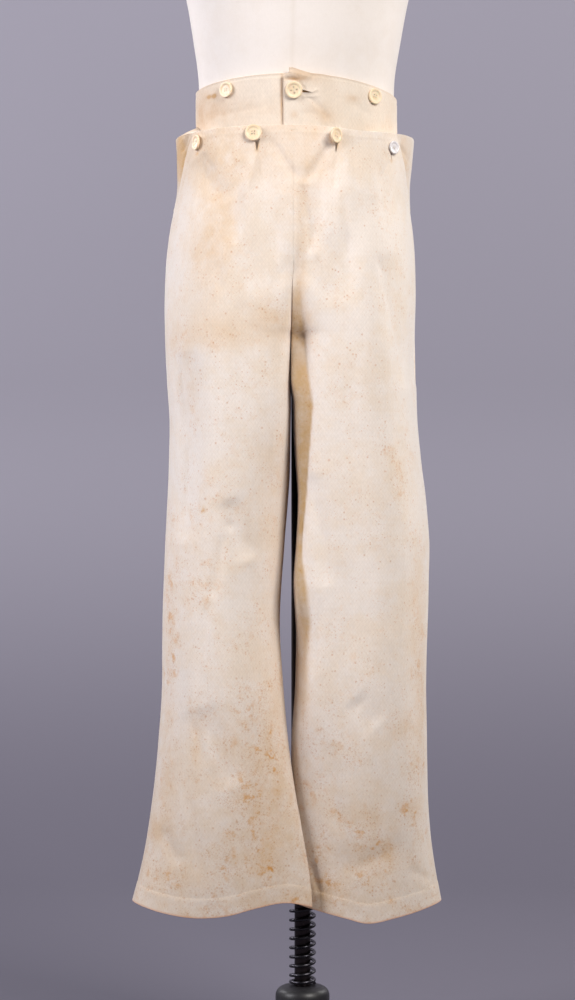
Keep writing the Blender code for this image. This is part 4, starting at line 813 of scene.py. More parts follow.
# The large folds, and then the finer creases that lie on them, in millimetres: across and up at
# the start and at the end, width, depth, bow to the left, and lean. Each runs from one place to
# another as seen from its own face. A positive depth is a trough and a negative one a ridge.
# With a lean of 0.5 one flank is three times the other.
FOLDS = {
    "front": (
        (-55, 1070, -22, 900, 14, 3.5, 0, 0), (36, 1066, -2, 900, 14, 3.5, 0, 0),
        (-90, 1020, -50, 890, 20, 3, 0, 0), (70, 1010, 35, 885, 20, 3, 0, 0),
        (-126, 1050, -85, 1000, 12, 2.5, 0, 0), (-132, 830, -138, 610, 16, 4.5, 0, 0),
        (-85, 660, -62, 590, 14, 4, 0, 0), (92, 940, 128, 790, 16, 4.5, 0, 0),
        (12, 690, 26, 560, 12, 3.5, 0, 0), (56, 430, 86, 400, 16, 2, 0, 0),
        (30, 235, 128, 250, 18, 1.5, 0, 0), (-120, 420, -80, 330, 20, 3, 0, 0),
        (-53.8, 1056.8, -68.6, 1001.9, 4, -2.2, 1, 0.2),
        (-72.1, 1047.6, -83.5, 949.3, 8, 3, -2, 0.2),
        (-37.8, 1073.9, -4.6, 1022.5, 6, 2.1, -1.5, -0.2),
        (30.9, 1067.1, 0, 1020.2, 6, 2.4, 1, 0.2), (-4.6, 1084.2, -4.6, 1033.9, 18, -1.3, 0, 0),
        (0, 1017.9, 9.1, 939, 7, 3.2, 2, 0), (26.3, 1033.9, 28.6, 950.4, 6, -1.9, 0, 0),
        (45.7, 1007.6, 49.2, 933.3, 5, 1.6, 1, 0), (-112.1, 1059.1, -122.4, 984.7, 5, 1.4, 2, 0.2),
        (-92.7, 1077.4, -102.9, 1013.3, 4, -1.1, 0, 0),
        (56, 1070.5, 65.2, 1001.9, 5, 1.3, -2, 0.2), (88, 1047.6, 94.9, 967.6, 5, 1.3, 1, 0),
        (-22.9, 1006.5, -30.9, 931, 6, 1.3, -1, 0),
        (-117.8, 1059.1, -101.8, 1033.9, 2.2, 1.1, 0.5, 0),
        (-119, 1055.6, -111, 1024.8, 2, 1, 0, 0), (99.5, 1049.9, 88, 1019, 2.2, 1.1, 0, 0),
        (-52.6, 1059.1, -46.9, 1019, 2.5, 1, 0, 0.2),
        (37.7, 1055.6, 35.4, 1013.3, 2.5, 1.1, 0, 0.2), (-5.7, 944.7, -5.7, 887.5, 3, 1.6, 0, 0),
        (-13.7, 931, -37.8, 887.5, 8, 1, -2, 0.2), (0, 931, 30.9, 876.1, 8, 1, 2, 0.2),
        (12.6, 958.4, 16, 931, 4, -1.6, 0, 0), (-99.5, 931, -93.8, 893.2, 7, 1.4, 1, 0),
        (-143.5, 828.1, -136.7, 727.4, 3, 1.5, -2, 0.5),
        (-149.8, 813.2, -145.3, 658.8, 4, -1.1, 0, 0),
        (-137.3, 727.4, -140.7, 635.9, 3.2, 1.3, 1, 0.5),
        (-88.1, 632.5, -76.6, 624.5, 4, 1.6, 0, 0.3),
        (-90.4, 618.8, -105.2, 544.4, 6, 1.6, 2, -0.3),
        (-105.2, 544.4, -119, 441.5, 6, 1.5, -2, -0.3), (-127, 402.6, -116.7, 355.7, 4, 1, 1, 0),
        (-113.2, 392.3, -101.8, 344.3, 4, -0.9, 0, 0), (-162.4, 279.1, -139.5, 238, 8, 1.6, -3, 0),
        (-60.6, 590.2, -46.9, 430.1, 12, 0.9, 3, 0),
        (-72.1, 887.5, -46.9, 830.3, 10, 0.9, -3, 0.2),
        (-54.9, 407.2, -35.5, 258.5, 10, 1.2, -4, 0.2), (-131.5, 315.7, -122.4, 224.2, 6, 1, 2, 0),
        (-89.2, 247.1, -81.2, 195.6, 7, 0.9, 0, 0), (-43.5, 773.2, -37.8, 635.9, 10, 0.7, -3, 0),
        (82.9, 942.4, 93.8, 912.7, 3, 1.3, 0, 0.3), (93.8, 912.7, 121.2, 807.5, 2.8, 1.6, -2, 0.5),
        (121.2, 807.5, 128.1, 770.9, 3, 0.9, 0, 0.4), (49.2, 965.3, 52.6, 887.5, 6, 1.4, 1, 0),
        (11.2, 662.2, 22.8, 607.3, 2.6, 1.3, -1, 0.5), (58.3, 414.1, 76.6, 433.5, 3, 0.7, 1, 0.3),
        (42.3, 590.2, 56, 475.8, 12, 1, 3, 0), (97.2, 498.7, 110.9, 590.2, 8, 0.9, -2, 0),
        (46.9, 228.8, 120.1, 267.7, 8, 0.8, -4, 0.2), (121.2, 231.1, 149.8, 215.1, 5, 1.2, 1.5, 0),
        (9.1, 238, 19.4, 201.4, 4, 1.8, -1, 0.3), (30.9, 378.6, 44.6, 270, 8, 1, -2, 0.2),
        (76.6, 361.5, 93.8, 258.5, 8, 0.8, 2, 0), (17.1, 544.4, 10.3, 453, 4, 1.2, 2, 0.3),
        (110.9, 738.9, 124.6, 635.9, 6, 0.9, -1.5, 0), (48, 796, 56, 693.1, 9, 0.7, 2, 0),
    ),
    "back": (
        (-60, 1000, -85, 760, 20, 4.5, 0, 0), (48, 1000, 70, 760, 20, 4.5, 0, 0),
        (-125, 900, -50, 830, 16, 5, 0, 0), (110, 900, 40, 830, 16, 5, 0, 0),
        (-120, 860, -55, 800, 16, 4.5, 0, 0), (105, 860, 45, 800, 16, 4.5, 0, 0),
        (-110, 640, -55, 590, 16, 4.5, 0, 0), (105, 620, 50, 570, 16, 4.5, 0, 0),
        (-100, 500, -75, 300, 18, 3.5, 0, 0), (85, 480, 70, 290, 18, 3.5, 0, 0),
        (-20, 885, -112, 800, 8, 1.6, 6, 0.3), (12, 885, 92, 805, 8, 1.6, -6, 0.3),
        (-18, 930, -80, 955, 10, -1.2, 4, 0), (10, 930, 70, 955, 10, -1.2, -4, 0),
        (-100, 1040, -88, 950, 6, 1.2, 2, 0.2), (74, 1045, 66, 955, 6, 1.2, -2, 0.2),
        (-50, 1060, -42, 985, 5, 1, -1, 0), (34, 1060, 28, 990, 5, 1, 1, 0),
        (-130, 760, -120, 640, 7, 1.4, 3, 0.3), (112, 770, 106, 650, 7, 1.4, -3, 0.3),
        (-130, 632, -60, 612, 6, 1.5, -4, 0.3), (122, 600, 60, 588, 6, 1.5, 4, 0.3),
        (-45, 560, -110, 520, 7, 1.2, 3, 0.2), (45, 545, 100, 505, 7, 1.2, -3, 0.2),
        (-120, 430, -125, 250, 8, 1.3, -4, 0.2), (50, 420, 46, 240, 8, 1.3, 4, 0.2),
        (-60, 300, -40, 215, 6, 1, 1, 0), (110, 300, 124, 215, 6, 1, -1, 0),
        (-150, 900, -146, 700, 6, 1.2, 3, 0.3), (124, 900, 118, 720, 6, 1.2, -3, 0.3),
    ),
    "bearer": (
        (-133.7, 1082.9, -142.4, 1063.1, 2.2, 3.2, 0.8, 0.2),
        (-127.8, 1080.5, -136, 1054.9, 2.2, 3, 0.5, 0.2),
        (-134.8, 1057.2, -141.8, 1033.9, 2, 1.8, 0, 0),
        (-138.3, 1080.5, -145.3, 1071.2, 2, -1.2, 0, 0),
        (-130.8, 1081.7, -138.9, 1057.2, 1.6, -1.4, 0.6, 0),
        (108.7, 1054.9, 122.6, 1033.9, 2, 1, 0, 0), (113.3, 1070, 126.1, 1051.4, 2.4, 1.6, 0, 0),
    ),
    "band_right": (
        (-112.1, 1102.5, -35.5, 1111.7, 4, 0.5, -2, 0.2),
        (-81.2, 1125.4, -85.8, 1093.4, 5, 0.5, 0, 0), (-46.9, 1139.1, -37.8, 1095.7, 5, 0.5, 1, 0),
    ),
    "band_left": (
        (0, 1125.4, 32, 1092.2, 3, 1.3, 1, 0.3), (-21.8, 1139.8, -4.6, 1138.7, 1.5, 2.2, 0, 0),
        (-5.2, 1139.3, 2.8, 1130, 1.5, 2, -0.6, 0), (-19.5, 1146.5, 10.3, 1142.5, 4, -2, 0, 0),
        (-2.3, 1130, 18.3, 1127.1, 1.6, -1, 0, 0), (-2.3, 1122.5, 19.4, 1120.2, 1.6, -0.8, 0, 0),
        (53.7, 1116.2, 78.9, 1102.5, 5, 0.6, 0, 0), (-3.5, 1102.5, 30.9, 1095.7, 4, 0.5, 1, 0),
    ),
}

# Stains and some painted shade, in millimetres: the middle across and up, half width, half
# height; and as shares, yellowing and foxing
STAINS_AND_PAINTED_SHADE = {
    "front": (
        (-140.7, 844.1, 29.7, 17.2, 0.28, 0.15), (-88.1, 850.9, 34.3, 18.3, 0.34, 0.1),
        (-33.2, 862.4, 25.2, 25.2, 0.34, 0.05), (-129.3, 778.9, 10.3, 27.4, 0.2, 0.1),
        (-85.8, 990.4, 14.9, 48, 0.16, 0), (-113.2, 948.1, 29.7, 14.9, 0.18, 0.05),
        (4.6, 864.6, 8, 14.9, 0.25, 0), (14.8, 1040.8, 29.7, 13.7, 0.12, 0),
        (1.1, 1013.3, 6.9, 20.6, 0.25, 0), (-37.8, 327.2, 32, 108.6, 0.34, 0.85),
        (-46.9, 247.1, 29.7, 45.7, 0.14, 0.5), (-154.4, 498.7, 8, 108.6, 0.22, 0.85),
        (-156.7, 327.2, 10.3, 68.6, 0.25, 0.5), (-170.4, 275.7, 11.4, 16, 0.35, 0.7),
        (-129.3, 590.2, 34.3, 68.6, 0.1, 0.25), (118.9, 395.8, 16, 16, 0.2, 1.1),
        (137.2, 355.7, 9.1, 22.9, 0.2, 0.8), (128.1, 298.6, 11.4, 11.4, 0.3, 0.7),
        (74.3, 292.8, 16, 11.4, 0.3, 0.7), (94.9, 251.7, 16, 16, 0.35, 0.7),
        (133.8, 521.6, 11.4, 91.5, 0.3, 0.55), (139.5, 430.1, 8, 68.6, 0.35, 0.6),
        (48, 247.1, 45.7, 34.3, 0.15, 0.3), (-83.5, 384.3, 16, 34.3, 0.2, 0.5),
        (21.7, 207.1, 16, 18.3, 0.3, 0.3), (-122.4, 384.3, 9.1, 45.7, 0.25, 0.3),
        (-3.5, 195.6, 68.6, 11.4, 0.2, 0.5), (-113.8, 647.4, 1.8, 2.5, 1.3, 0),
        (-102.9, 670.2, 13.7, 22.9, 0.12, 0.2), (-37.8, 681.7, 22.9, 68.6, 0.15, 0.1),
        (-135, 224.2, 28.6, 20.6, 0.12, 0.4), (108.6, 693.1, 20.6, 34.3, 0.1, 0.35),
        # The row at (-2.3, 912.7) is painted shade in the centre seam's valley. The last five rows
        # are painted shade in the fall's slits, and at (32.6, 1071.6) a painted shadow beside the
        # inner left button.
        (-105.2, 965.3, 27.4, 70.9, 0.42, 0.05), (-2.3, 912.7, 6.9, 41.2, 0.42, 0),
        (-3.5, 988.2, 13.7, 25.2, 0.16, 0), (-52.1, 1063.6, 2.1, 5.7, 0.9, 0),
        (32.6, 1071.6, 2.9, 5.7, 0.6, 0), (40, 1061.3, 1.6, 5.7, 0.7, 0),
        (-121.8, 1057.9, 1.4, 1.8, 0.9, 0), (101.8, 1049.9, 1.1, 2.3, 0.8, 0),
    ),
    "back": (
        (-100, 840, 50, 30, 0.35, 0.1), (70, 620, 40, 30, 0.3, 0.2), (-60, 360, 40, 80, 0.4, 0.8),
        (110, 400, 20, 100, 0.3, 0.6), (30, 300, 30, 60, 0.4, 0.7), (-150, 500, 12, 120, 0.3, 0.7),
        (-20, 930, 40, 40, 0.25, 0), (50, 1020, 50, 30, 0.2, 0.1),
    ),
    "bearer": (
        # The first row is painted shade on the shelf above the hip, which faces the light from
        # above.
        (-124.3, 1091, 13.7, 6.9, 0.55, 0), (-141.8, 1057.2, 12.6, 34.3, 1.35, 0.1),
        (-143, 1071.2, 2.3, 10.3, 0.5, 0), (118, 1054.9, 10.3, 27.4, 0.55, 0.1),
    ),
    "band_right": (
        # The first row is painted shade in the waist buttonhole, and the last, at -24.5 across, a
        # painted shadow along the left half's edge where it laps over.
        (2.8, 1126.3, 6.9, 3.4, 1.5, 0.5), (-72.1, 1110.5, 45.7, 25.2, 0.12, 0),
        (-111, 1116.2, 25.2, 29.7, 0.42, 0.15), (-108.7, 1126.5, 2.5, 2.1, 1.4, 0.5),
        (-102.9, 1126.5, 2.7, 2.5, 1.6, 0.5), (-89.2, 1104.8, 22.9, 10.3, 0.15, 0.2),
        (-43.5, 1107.1, 13.7, 9.1, 0.15, 0.1), (-119, 1102.5, 6.9, 25.2, 0.25, 0.2),
        (-24.5, 1118.5, 1.5, 34.3, 0.75, 0),
    ),
    "band_left": (
        # The row at (-10.3, 1139.7) is painted shade under the corner's fold.
        (-1.2, 1144.8, 22.9, 8, 0.6, 0.1), (-10.3, 1139.7, 10.3, 1.8, 0.55, 0),
        (26.3, 1096.8, 10.3, 8, 0.4, 0), (17.1, 1104.8, 16, 9.1, 0.22, 0.1),
        (-10.3, 1099.1, 4.6, 4.6, 0.35, 0.2), (57.2, 1119.7, 6.9, 4.6, 0.35, 0.2),
        (82.3, 1088.8, 13.7, 6.9, 0.15, 0.1), (101.8, 1102.5, 9.1, 22.9, 0.2, 0.1),
    ),
}
ALL_TAN = 0.04              # yellowing and foxing of all the cloth
ALL_FOXING = 0.10
LEG_AGE_Z = 0.560           # below this the legs are yellower, more foxed and darker towards the hem
LEG_AGE_RUN = 0.380
LEG_TAN = 0.22
LEG_FOXING = 0.26
LOW_LEG_DARKENING = 0.18
FALL_TAN = 0.36             # the top of the fall is yellower
FALL_TAN_Z = 0.970
FALL_TAN_RUN = 0.100
FALL_CLEAN_X = 0.010        # but much less so to the left of here
FALL_CLEAN_RUN = 0.060
FALL_CLEAN = 0.85
BAND_CLEAN_Y = 0.010        # the waistband's stains are on its front
BAND_CLEAN_RUN = 0.030
EDGE_RADIUS = 0.0005        # the turned edges are rounded
SEAM_SINK = 0.0005          # cloth rolls in at a seam
SEAM_SINK_WIDTH = 0.0018
CENTRE_SINK_SHARE = 0.3     # the centre seam lies flatter
CENTRE_HOLD = 0.006         # near the centre seams the folds don't draw the pieces apart
INNER_START = 0.040         # the insides of the legs begin this far behind the front
INNER_DEPTH = 0.020
INNER_ASIDE = 0.030         # and this far in from the leg's middle
INNER_ASIDE_RUN = 0.020
INNER_TAN_AND_SHADE = 0.90            # and are much yellower, with painted shade between the legs
INNER_HEIGHTS = (0.340, 0.480, 0.860, 0.945)    # none, all, all and none
BACK_INNER_SHARE = 0.5      # the backs by half as much
LEG_MIDDLES = {"right": -0.075, "left": 0.060}
STRIP_PAINTED_SHADE = 0.26           # and where it shows in front, painted shade makes it greyer too
VALLEY_LOW = (0.46, 0.56)       # between the legs, the left one's inside comes forward here
VALLEY_HIGH = (0.900, 0.925)
VALLEY_SMOOTHING = 0.02
VALLEY_POWER = 8.0
VALLEY_NEAR = (0.770, 0.800)    # above this the legs are close together
VALLEY_NEAR_POWER = 16.0
VALLEY_NEAR_SHIFT = 0.0012      # and the inside moves a little towards the right leg,
VALLEY_NEAR_MIDDLE = 0.88       # most at this share of the way to its seam
VALLEY_NEAR_WIDTH = 0.20
FORK_FILL = 0.011               # the centre seam's valley is this much shallower
FORK_FILL_REACH = 0.014
FORK_FILL_Z = 0.872             # up to here, and less and less above
FORK_FILL_RUN = 0.045
SEAM_MEET = 0.9                 # the two edges come together by this share
# Where the yellowing and painted shade of the left leg's inside ends on its front: height, place
# across and how far it fades in millimetres, and strength
INNER_STRIP = np.array((
    (401.5, 2.3, 9, 0.1), (439.2, 4.5, 8, 0.5), (490.7, 5.7, 8, 0.75), (514.7, 8, 7, 0.8),
    (552.4, 4.5, 7, 0.85), (600.5, -1, 2, 0.95), (629.1, 0.6, 2, 1), (666.8, 4.3, 1.8, 1.05),
    (693.1, 5.7, 1.8, 1.05), (740, 9.2, 2.2, 1), (775.4, 10.4, 3, 0.92), (790.3, 7.8, 4.5, 0.86),
    (813.2, 4.8, 4.5, 0.8), (845.2, 2.3, 4.5, 0.74), (873.8, -1, 4.5, 0.5), (897.8, -2.3, 4, 0.3),
    (920, -4, 4, 0),
)) * (MM, MM, MM, 1.0)
RIPPLE = ((20.0, 0.0007), (52.0, 0.00028))      # cycles a metre, and height
RIPPLE_STRETCH = np.array([1.0, 1.0, 0.55])     # it is longer up the cloth
# Rows of the mesh: this far from an edge, the next one, the close ones above the hem, and how
# many more there are on the leg and on the fall
EDGE_ROWS = np.array([0.0, 0.0003, 0.0009])
EDGE_NEXT = 0.0022
HEM_ROWS_TO = 0.0310
HEM_ROW_PITCH = 0.0013
LEG_ROWS_FROM = 0.034
LEG_ROWS = 208
FALL_ROWS_FROM = 0.0016
FALL_ROWS = 52
BACK_COLUMNS = 84
# The waistband's seam is lower at the side and still lower at the front: right, left
SEAM_DROPS = ((0.0020, 0.0110), (0.0150, 0.0190))
SEAM_DROP_FRONT_Y = -0.020      # from here forwards, over this depth
SEAM_DROP_FRONT_RUN = 0.040
SEAM_DROP_BACK_Y = 0.080        # at the back it fades out up to here
SHELF_ROWS = 12                 # rows from the hip's top in to the waistband
SHELF_ROUND = 0.0008
STITCH_PITCH = 0.0034           # running stitches of the hem
HEM_PUCKER = 0.0003             # they draw the cloth in
HEM_PUCKER_EVEN = 0.6           # by this share between them
HEM_LINE_WIDTH = 0.0016
# The panels are cut from different places of the length, so that no figures line up
FACE_SHIFTS = {"front": 0.0, "back": 0.51}
SIDE_SHIFTS = {"right": 0.0, "left": 1.13}


def section(side, z):
    """The values of one leg's section at a height, by name."""
    table = section_tables[side]
    return {name: float(through(table[:, 0], table[:, i], np.float64(z)))
            for i, name in enumerate(SECTION_COLUMNS)}


def squared(angle, power):
    """Along and away on a quarter of a squared-off ellipse."""
    return np.cos(angle) ** (2 / power), np.sin(angle) ** (2 / power)


def quarter(tip, middle, power):
    """A quarter of a squared-off ellipse from its side tip to its front or back middle."""
    along, away = squared(np.linspace(0.0, math.pi / 2, CURVE_POINTS), power)
    x = middle[0] + (tip[0] - middle[0]) * along
    y = tip[1] + (middle[1] - tip[1]) * away
    return np.stack([x, y], axis=1)


def turned_in(tip, corner, middle, weight):
    """A curve from the inseam to the front middle that turns near the corner."""
    t = np.linspace(0.0, 1.0, CURVE_POINTS)[:, None]
    shares = ((1.0 - t) ** 2, 2.0 * weight * t * (1.0 - t), t ** 2)
    places = (np.array(place) for place in (tip, corner, middle))
    return sum(share * place for share, place in zip(shares, places)) / sum(shares)


def rise(z, wall_y, end_y, start_z, end_z):
    """Depth of the front or back seam, which curves under the body."""
    part = np.clip((start_z - z) / (start_z - end_z), 0.0, 1.0)
    return end_y + (wall_y - end_y) * math.sqrt(1.0 - part * part)


def back_seam(z, wall_y, inseam_y):
    """The back's inner edge: inseam, then open round the pole, then the seat seam."""
    if z > FORK_HIGH_Z:
        return rise(z, wall_y, FORK_BACK_Y, BACK_RISE_Z, FORK_HIGH_Z)
    part = np.clip((z - FORK_LOW_Z) / (FORK_HIGH_Z - FORK_LOW_Z), 0.0, 1.0)
    return inseam_y + (FORK_BACK_Y - inseam_y) * float(part)


def aside_of_pole(points, side, z):
    """Move a section's points out round the pole, which passes between the legs."""
    reach = np.clip(np.abs(points[:, 1]) / POLE_CLEAR_REACH, 0.0, 1.0)
    swell = np.cos(reach * math.pi / 2) ** 2
    along = float(ease((z - TUBE_LOW_Z) / SPRING_CLEAR_RUN))
    radius = SPRING_CLEAR_RADIUS + (TUBE_CLEAR_RADIUS - SPRING_CLEAR_RADIUS) * along
    fork = float(ease((z - FORK_LOW_Z + FORK_CLEAR_BELOW) / FORK_CLEAR_RUN))
    radius = radius + (FORK_CLEAR_RADIUS - TUBE_CLEAR_RADIUS) * fork
    limit = (radius + POLE_CLEAR_DIP) * swell - POLE_CLEAR_DIP
    near = np.abs(points[:, 1]) < POLE_CLEAR_REACH
    moved = points.copy()
    outward = side * points[:, 0]
    moved[:, 0] = np.where(near, side * np.maximum(outward, limit), points[:, 0])
    return moved


def side_sign(side):
    """The right leg is at minus x."""
    return -1.0 if side == "right" else 1.0


def outline(side, face, z):
    """The section of one panel at a height, from the side seam to its inner seam."""
    row = section(side, z)
    x_in, y_in = row["x_in"], row["y_in"]
    if face == "front":
        middle = (row["x_front"], row["y_front"])
        if z > CROTCH_Z:
            y_in = rise(z, row["y_front"], y_in, FRONT_RISE_Z, CROTCH_Z)
        corner = (row["x_corner"], row["y_front"])
        inner = turned_in((x_in, y_in), corner, middle, row["corner_weight"])
    else:
        middle = (row["x_back"], row["y_back"])
        if z > CROTCH_Z:
            lean = ease((z - CROTCH_Z) / (BACK_RISE_Z - CROTCH_Z))
            x_in = x_in + (CENTRE_BACK_X - x_in) * float(lean)
        y_in = back_seam(z, row["y_back"], y_in)
        inner = quarter((x_in, y_in), middle, row["back_power"])
    outer = quarter((row["x_out"], row["y_out"]), middle, OUTER_POWER)
    points = np.concatenate([outer, inner[-2::-1]])
    return aside_of_pole(points, side_sign(side), z)


def distances(points):
    """How far along a line each of its points is."""
    steps = np.linalg.norm(np.diff(points, axis=0), axis=1)
    return np.concatenate([[0.0], np.cumsum(steps)])


def at_distances(points, wanted):
    """The line's points at given distances along it."""
    along = distances(points)
    return np.stack([np.interp(wanted, along, points[:, i]) for i in range(points.shape[1])],
                    axis=-1)


def arc_length(points):
    """The length of a line."""
    return float(distances(points)[-1])


def seam_lengths(side, face, heights):
    """The length along the cloth from the side seam to the inner one, at each height."""
    return np.array([arc_length(outline(side, face, z)) for z in heights])[:, None]


def crowded(count, face):
    """Shares from 0 to 1 for a panel's columns, closer towards the inseam."""
    crowding = FRONT_CROWDING if face == "front" else BACK_CROWDING
    return 1.0 - (1.0 - np.linspace(0.0, 1.0, count)) ** crowding


def spaced(points, start, end, shares):
    """Points along a polyline at the shares of its length, less a distance at each end."""
    return at_distances(points, start + (arc_length(points) - end - start) * shares)


def slit_arc(z):
    """Distance along the cloth from the side seam to the fall's side edge."""
    part = (z - SLIT_END_Z) / (HIP_TOP_Z - SLIT_END_Z)
    return SLIT_LOW_ARC + (SLIT_HIGH_ARC - SLIT_LOW_ARC) * part


def band_ring(x, y_sign):
    """Depth of the waistband's outer face at a place across it."""
    part = np.clip(np.abs(x - BAND_CENTRE_X) / BAND_HALF_WIDTH, 0.0, 1.0)
    return y_sign * BAND_HALF_DEPTH * (1.0 - part ** BAND_POWER) ** (1.0 / BAND_POWER)


def band_outline(side, face):
    """A quarter of the waistband's outer face, from the side to the centre seam."""
    sign = side_sign(side)
    y_sign = -1.0 if face == "front" else 1.0
    centre = CENTRE_FRONT_X if face == "front" else CENTRE_BACK_X
    along, away = squared(np.linspace(0.0, math.pi / 2, 2 * CURVE_POINTS), BAND_POWER)
    x = BAND_CENTRE_X + sign * BAND_HALF_WIDTH * along
    points = np.stack([x, y_sign * BAND_HALF_DEPTH * away], axis=1)
    keep = sign * (x - centre) >= 0.0
    end = np.array([[centre, float(band_ring(np.float64(centre), y_sign))]])
    return np.concatenate([points[keep], end])


def hem_shift(side, face, x, z):
    """How far the hem's line dips or lifts a point, fading out above it."""
    line = np.array(HEM_LINES[(side, face)])
    height = through(line[:, 0], line[:, 1], x)
    return (height - HEM_Z) * (1.0 - ease((z - HEM_Z) / HEM_FADE))


def fall_shift(x, z):
    """The fall's top edge curves up to the centre front."""
    across = np.clip(np.abs(x - CENTRE_FRONT_X) / FALL_HALF_WIDTH, 0.0, 1.0)
    bend = ease((z - FALL_BEND_Z) / (HIP_TOP_Z - FALL_BEND_Z))
    sag = FALL_DIP * bell(x - FALL_DIP_X, FALL_DIP_WIDTH)
    return (FALL_TOP_RISE * (1.0 - across ** 2) - sag) * bend


def grid_normals(points, flip):
    """Unit normals of a grid of points, rows up and columns across."""
    up = np.gradient(points, axis=0)
    across = np.gradient(points, axis=1)
    normal = np.cross(up, across)
    normal /= np.maximum(np.linalg.norm(normal, axis=2, keepdims=True), 1e-12)
    return normal * flip


def normal_flip(side, face):
    """The grids of right fronts and left backs run the other way round the leg."""
    return -1.0 if (side == "right") == (face == "front") else 1.0


def seam_normals(normals, z, side, face):
    """At a seam both pieces share one direction through the cloth."""
    sign = side_sign(side)
    shared = normals.copy()
    slit = (face == "front") & (z > SLIT_END_Z)
    shared[~slit, 0, 1] = 0.0
    shared[:, -1, 0] = -sign * np.maximum(-sign * shared[:, -1, 0], 0.0)
    shared[z <= FORK_HIGH_Z, -1] = (-sign, 0.0, 0.0)
    size = np.linalg.norm(shared, axis=2, keepdims=True)
    return shared / np.maximum(size, 1e-9)


def panel_heights():
    """Heights of the rows: closest at the hem and on the fall, with two at each edge."""
    return np.concatenate([
        HEM_Z + EDGE_ROWS,
        np.arange(HEM_Z + EDGE_NEXT, HEM_Z + HEM_ROWS_TO, HEM_ROW_PITCH),
        np.linspace(HEM_Z + LEG_ROWS_FROM, SLIT_END_Z - EDGE_NEXT, LEG_ROWS),
        [SLIT_END_Z],
        np.linspace(SLIT_END_Z + FALL_ROWS_FROM, HIP_TOP_Z - EDGE_NEXT, FALL_ROWS),
        HIP_TOP_Z - EDGE_ROWS[::-1],
    ])


def fold_depth(points, where):
    """Sum of the folds and the fine ripple at each point, as a distance outwards."""
    flat = points.reshape(-1, 3)
    total = np.zeros(len(flat))
    for *lengths, lean in FOLDS[where]:
        x_start, z_start, x_end, z_end, width, depth, bow = np.array(lengths) * MM
        run = np.array([x_end - x_start, z_end - z_start])
        length = math.hypot(*run)
        offset = flat[:, (0, 2)] - (x_start, z_start)
        part = np.clip((offset @ run) / (length * length), 0.0, 1.0)
        aside = (run[0] * offset[:, 1] - run[1] * offset[:, 0]) / length
        aside = aside - bow * (1.0 - (2.0 * part - 1.0) ** 2)
        beyond = np.linalg.norm(offset - part[:, None] * run, axis=1)
        apart = np.where((part > 0.0) & (part < 1.0), aside, beyond)
        spread = width * (1.0 + lean * np.sign(apart))
        taper = 1.0 - (2.0 * part - 1.0) ** 4
        total -= depth * taper * bell(apart, spread)
    for cycles, height in RIPPLE:
        wave = [noise.noise(Vector(p) * cycles) for p in flat * RIPPLE_STRETCH]
        total += height * np.array(wave)
    return total.reshape(points.shape[:2])


def edge_round(distance):
    """How far the faces draw in towards each other near a turned edge."""
    inside = np.clip(EDGE_RADIUS - distance, 0.0, EDGE_RADIUS)
    return EDGE_RADIUS - np.sqrt(EDGE_RADIUS ** 2 - inside ** 2)


def wall(outer, inner, cells=None):
    """Closed wall between two grids of points, with only the kept cells: vertices and faces."""
    rows, columns = outer.shape[:2]
    layer = rows * columns
    if cells is None:
        cells = np.ones((rows - 1, columns - 1), dtype=bool)
    index = np.arange(layer).reshape(rows, columns)
    a, b, c, d = index[:-1, :-1], index[:-1, 1:], index[1:, 1:], index[1:, :-1]
    faces = [np.stack([a, b, c, d], axis=2)[cells],
             np.stack([a, d, c, b], axis=2)[cells] + layer]
    padded = np.pad(cells, 1)
    here = padded[1:-1, 1:-1]
    for start, end, beside in (
        (a, b, padded[:-2, 1:-1]), (b, c, padded[1:-1, 2:]),
        (c, d, padded[2:, 1:-1]), (d, a, padded[1:-1, :-2]),
    ):
        edge = here & ~beside
        first, second = start[edge], end[edge]
        faces.append(np.stack([second, first, first + layer, second + layer], axis=1))
    quads = np.concatenate(faces)
    used, renumbered = np.unique(quads, return_inverse=True)
    vertices = np.concatenate([outer.reshape(-1, 3), inner.reshape(-1, 3)])[used]
    return vertices, renumbered.reshape(-1, 4), used


def aged_and_shaded(points, where):
    """Yellowing, foxing and darkening at each point, from the table of stains and painted shade;
    edge wear is left at none.
    """
    x, y, z = np.moveaxis(points, -1, 0)
    low = ease((LEG_AGE_Z - z) / LEG_AGE_RUN)
    tan = ALL_TAN + LEG_TAN * low
    foxing = ALL_FOXING + LEG_FOXING * low
    if where == "front":
        clean_part = FALL_CLEAN * ease((x - FALL_CLEAN_X) / FALL_CLEAN_RUN)
        tan = tan + FALL_TAN * ease((z - FALL_TAN_Z) / FALL_TAN_RUN) * (1.0 - clean_part)
    shown = ease((BAND_CLEAN_Y - y) / BAND_CLEAN_RUN) if where.startswith("band") else 1.0
    for *lengths, more_tan, more_foxing in STAINS_AND_PAINTED_SHADE[where]:
        x_middle, z_middle, half_width, half_height = np.array(lengths) * MM
        share = shown * np.exp(
            -(((x - x_middle) / half_width) ** 2 + ((z - z_middle) / half_height) ** 2))
        tan = tan + more_tan * share
        foxing = foxing + more_foxing * share
    return np.stack([tan, foxing, np.zeros_like(tan), 1.0 - LOW_LEG_DARKENING * low], axis=-1)


def inner_yellowing_and_shade(points, side, heights):
    """Yellowing of the insides of the legs, where they have lain against each other, with painted
    shade between them.
    """
    inward = -side_sign(side) * (points[..., 0] - LEG_MIDDLES[side])
    inside = ease((inward - INNER_ASIDE) / INNER_ASIDE_RUN)
    behind = points[..., 1] - points[..., 1].min(axis=1, keepdims=True)
    deep = ease((behind - INNER_START) / INNER_DEPTH)
    low, low_full, high_full, high = INNER_HEIGHTS
    tall = ease((heights - low) / (low_full - low)) * (1.0 - ease(
        (heights - high_full) / (high - high_full)))
    return INNER_TAN_AND_SHADE * inside * deep * tall[:, None]


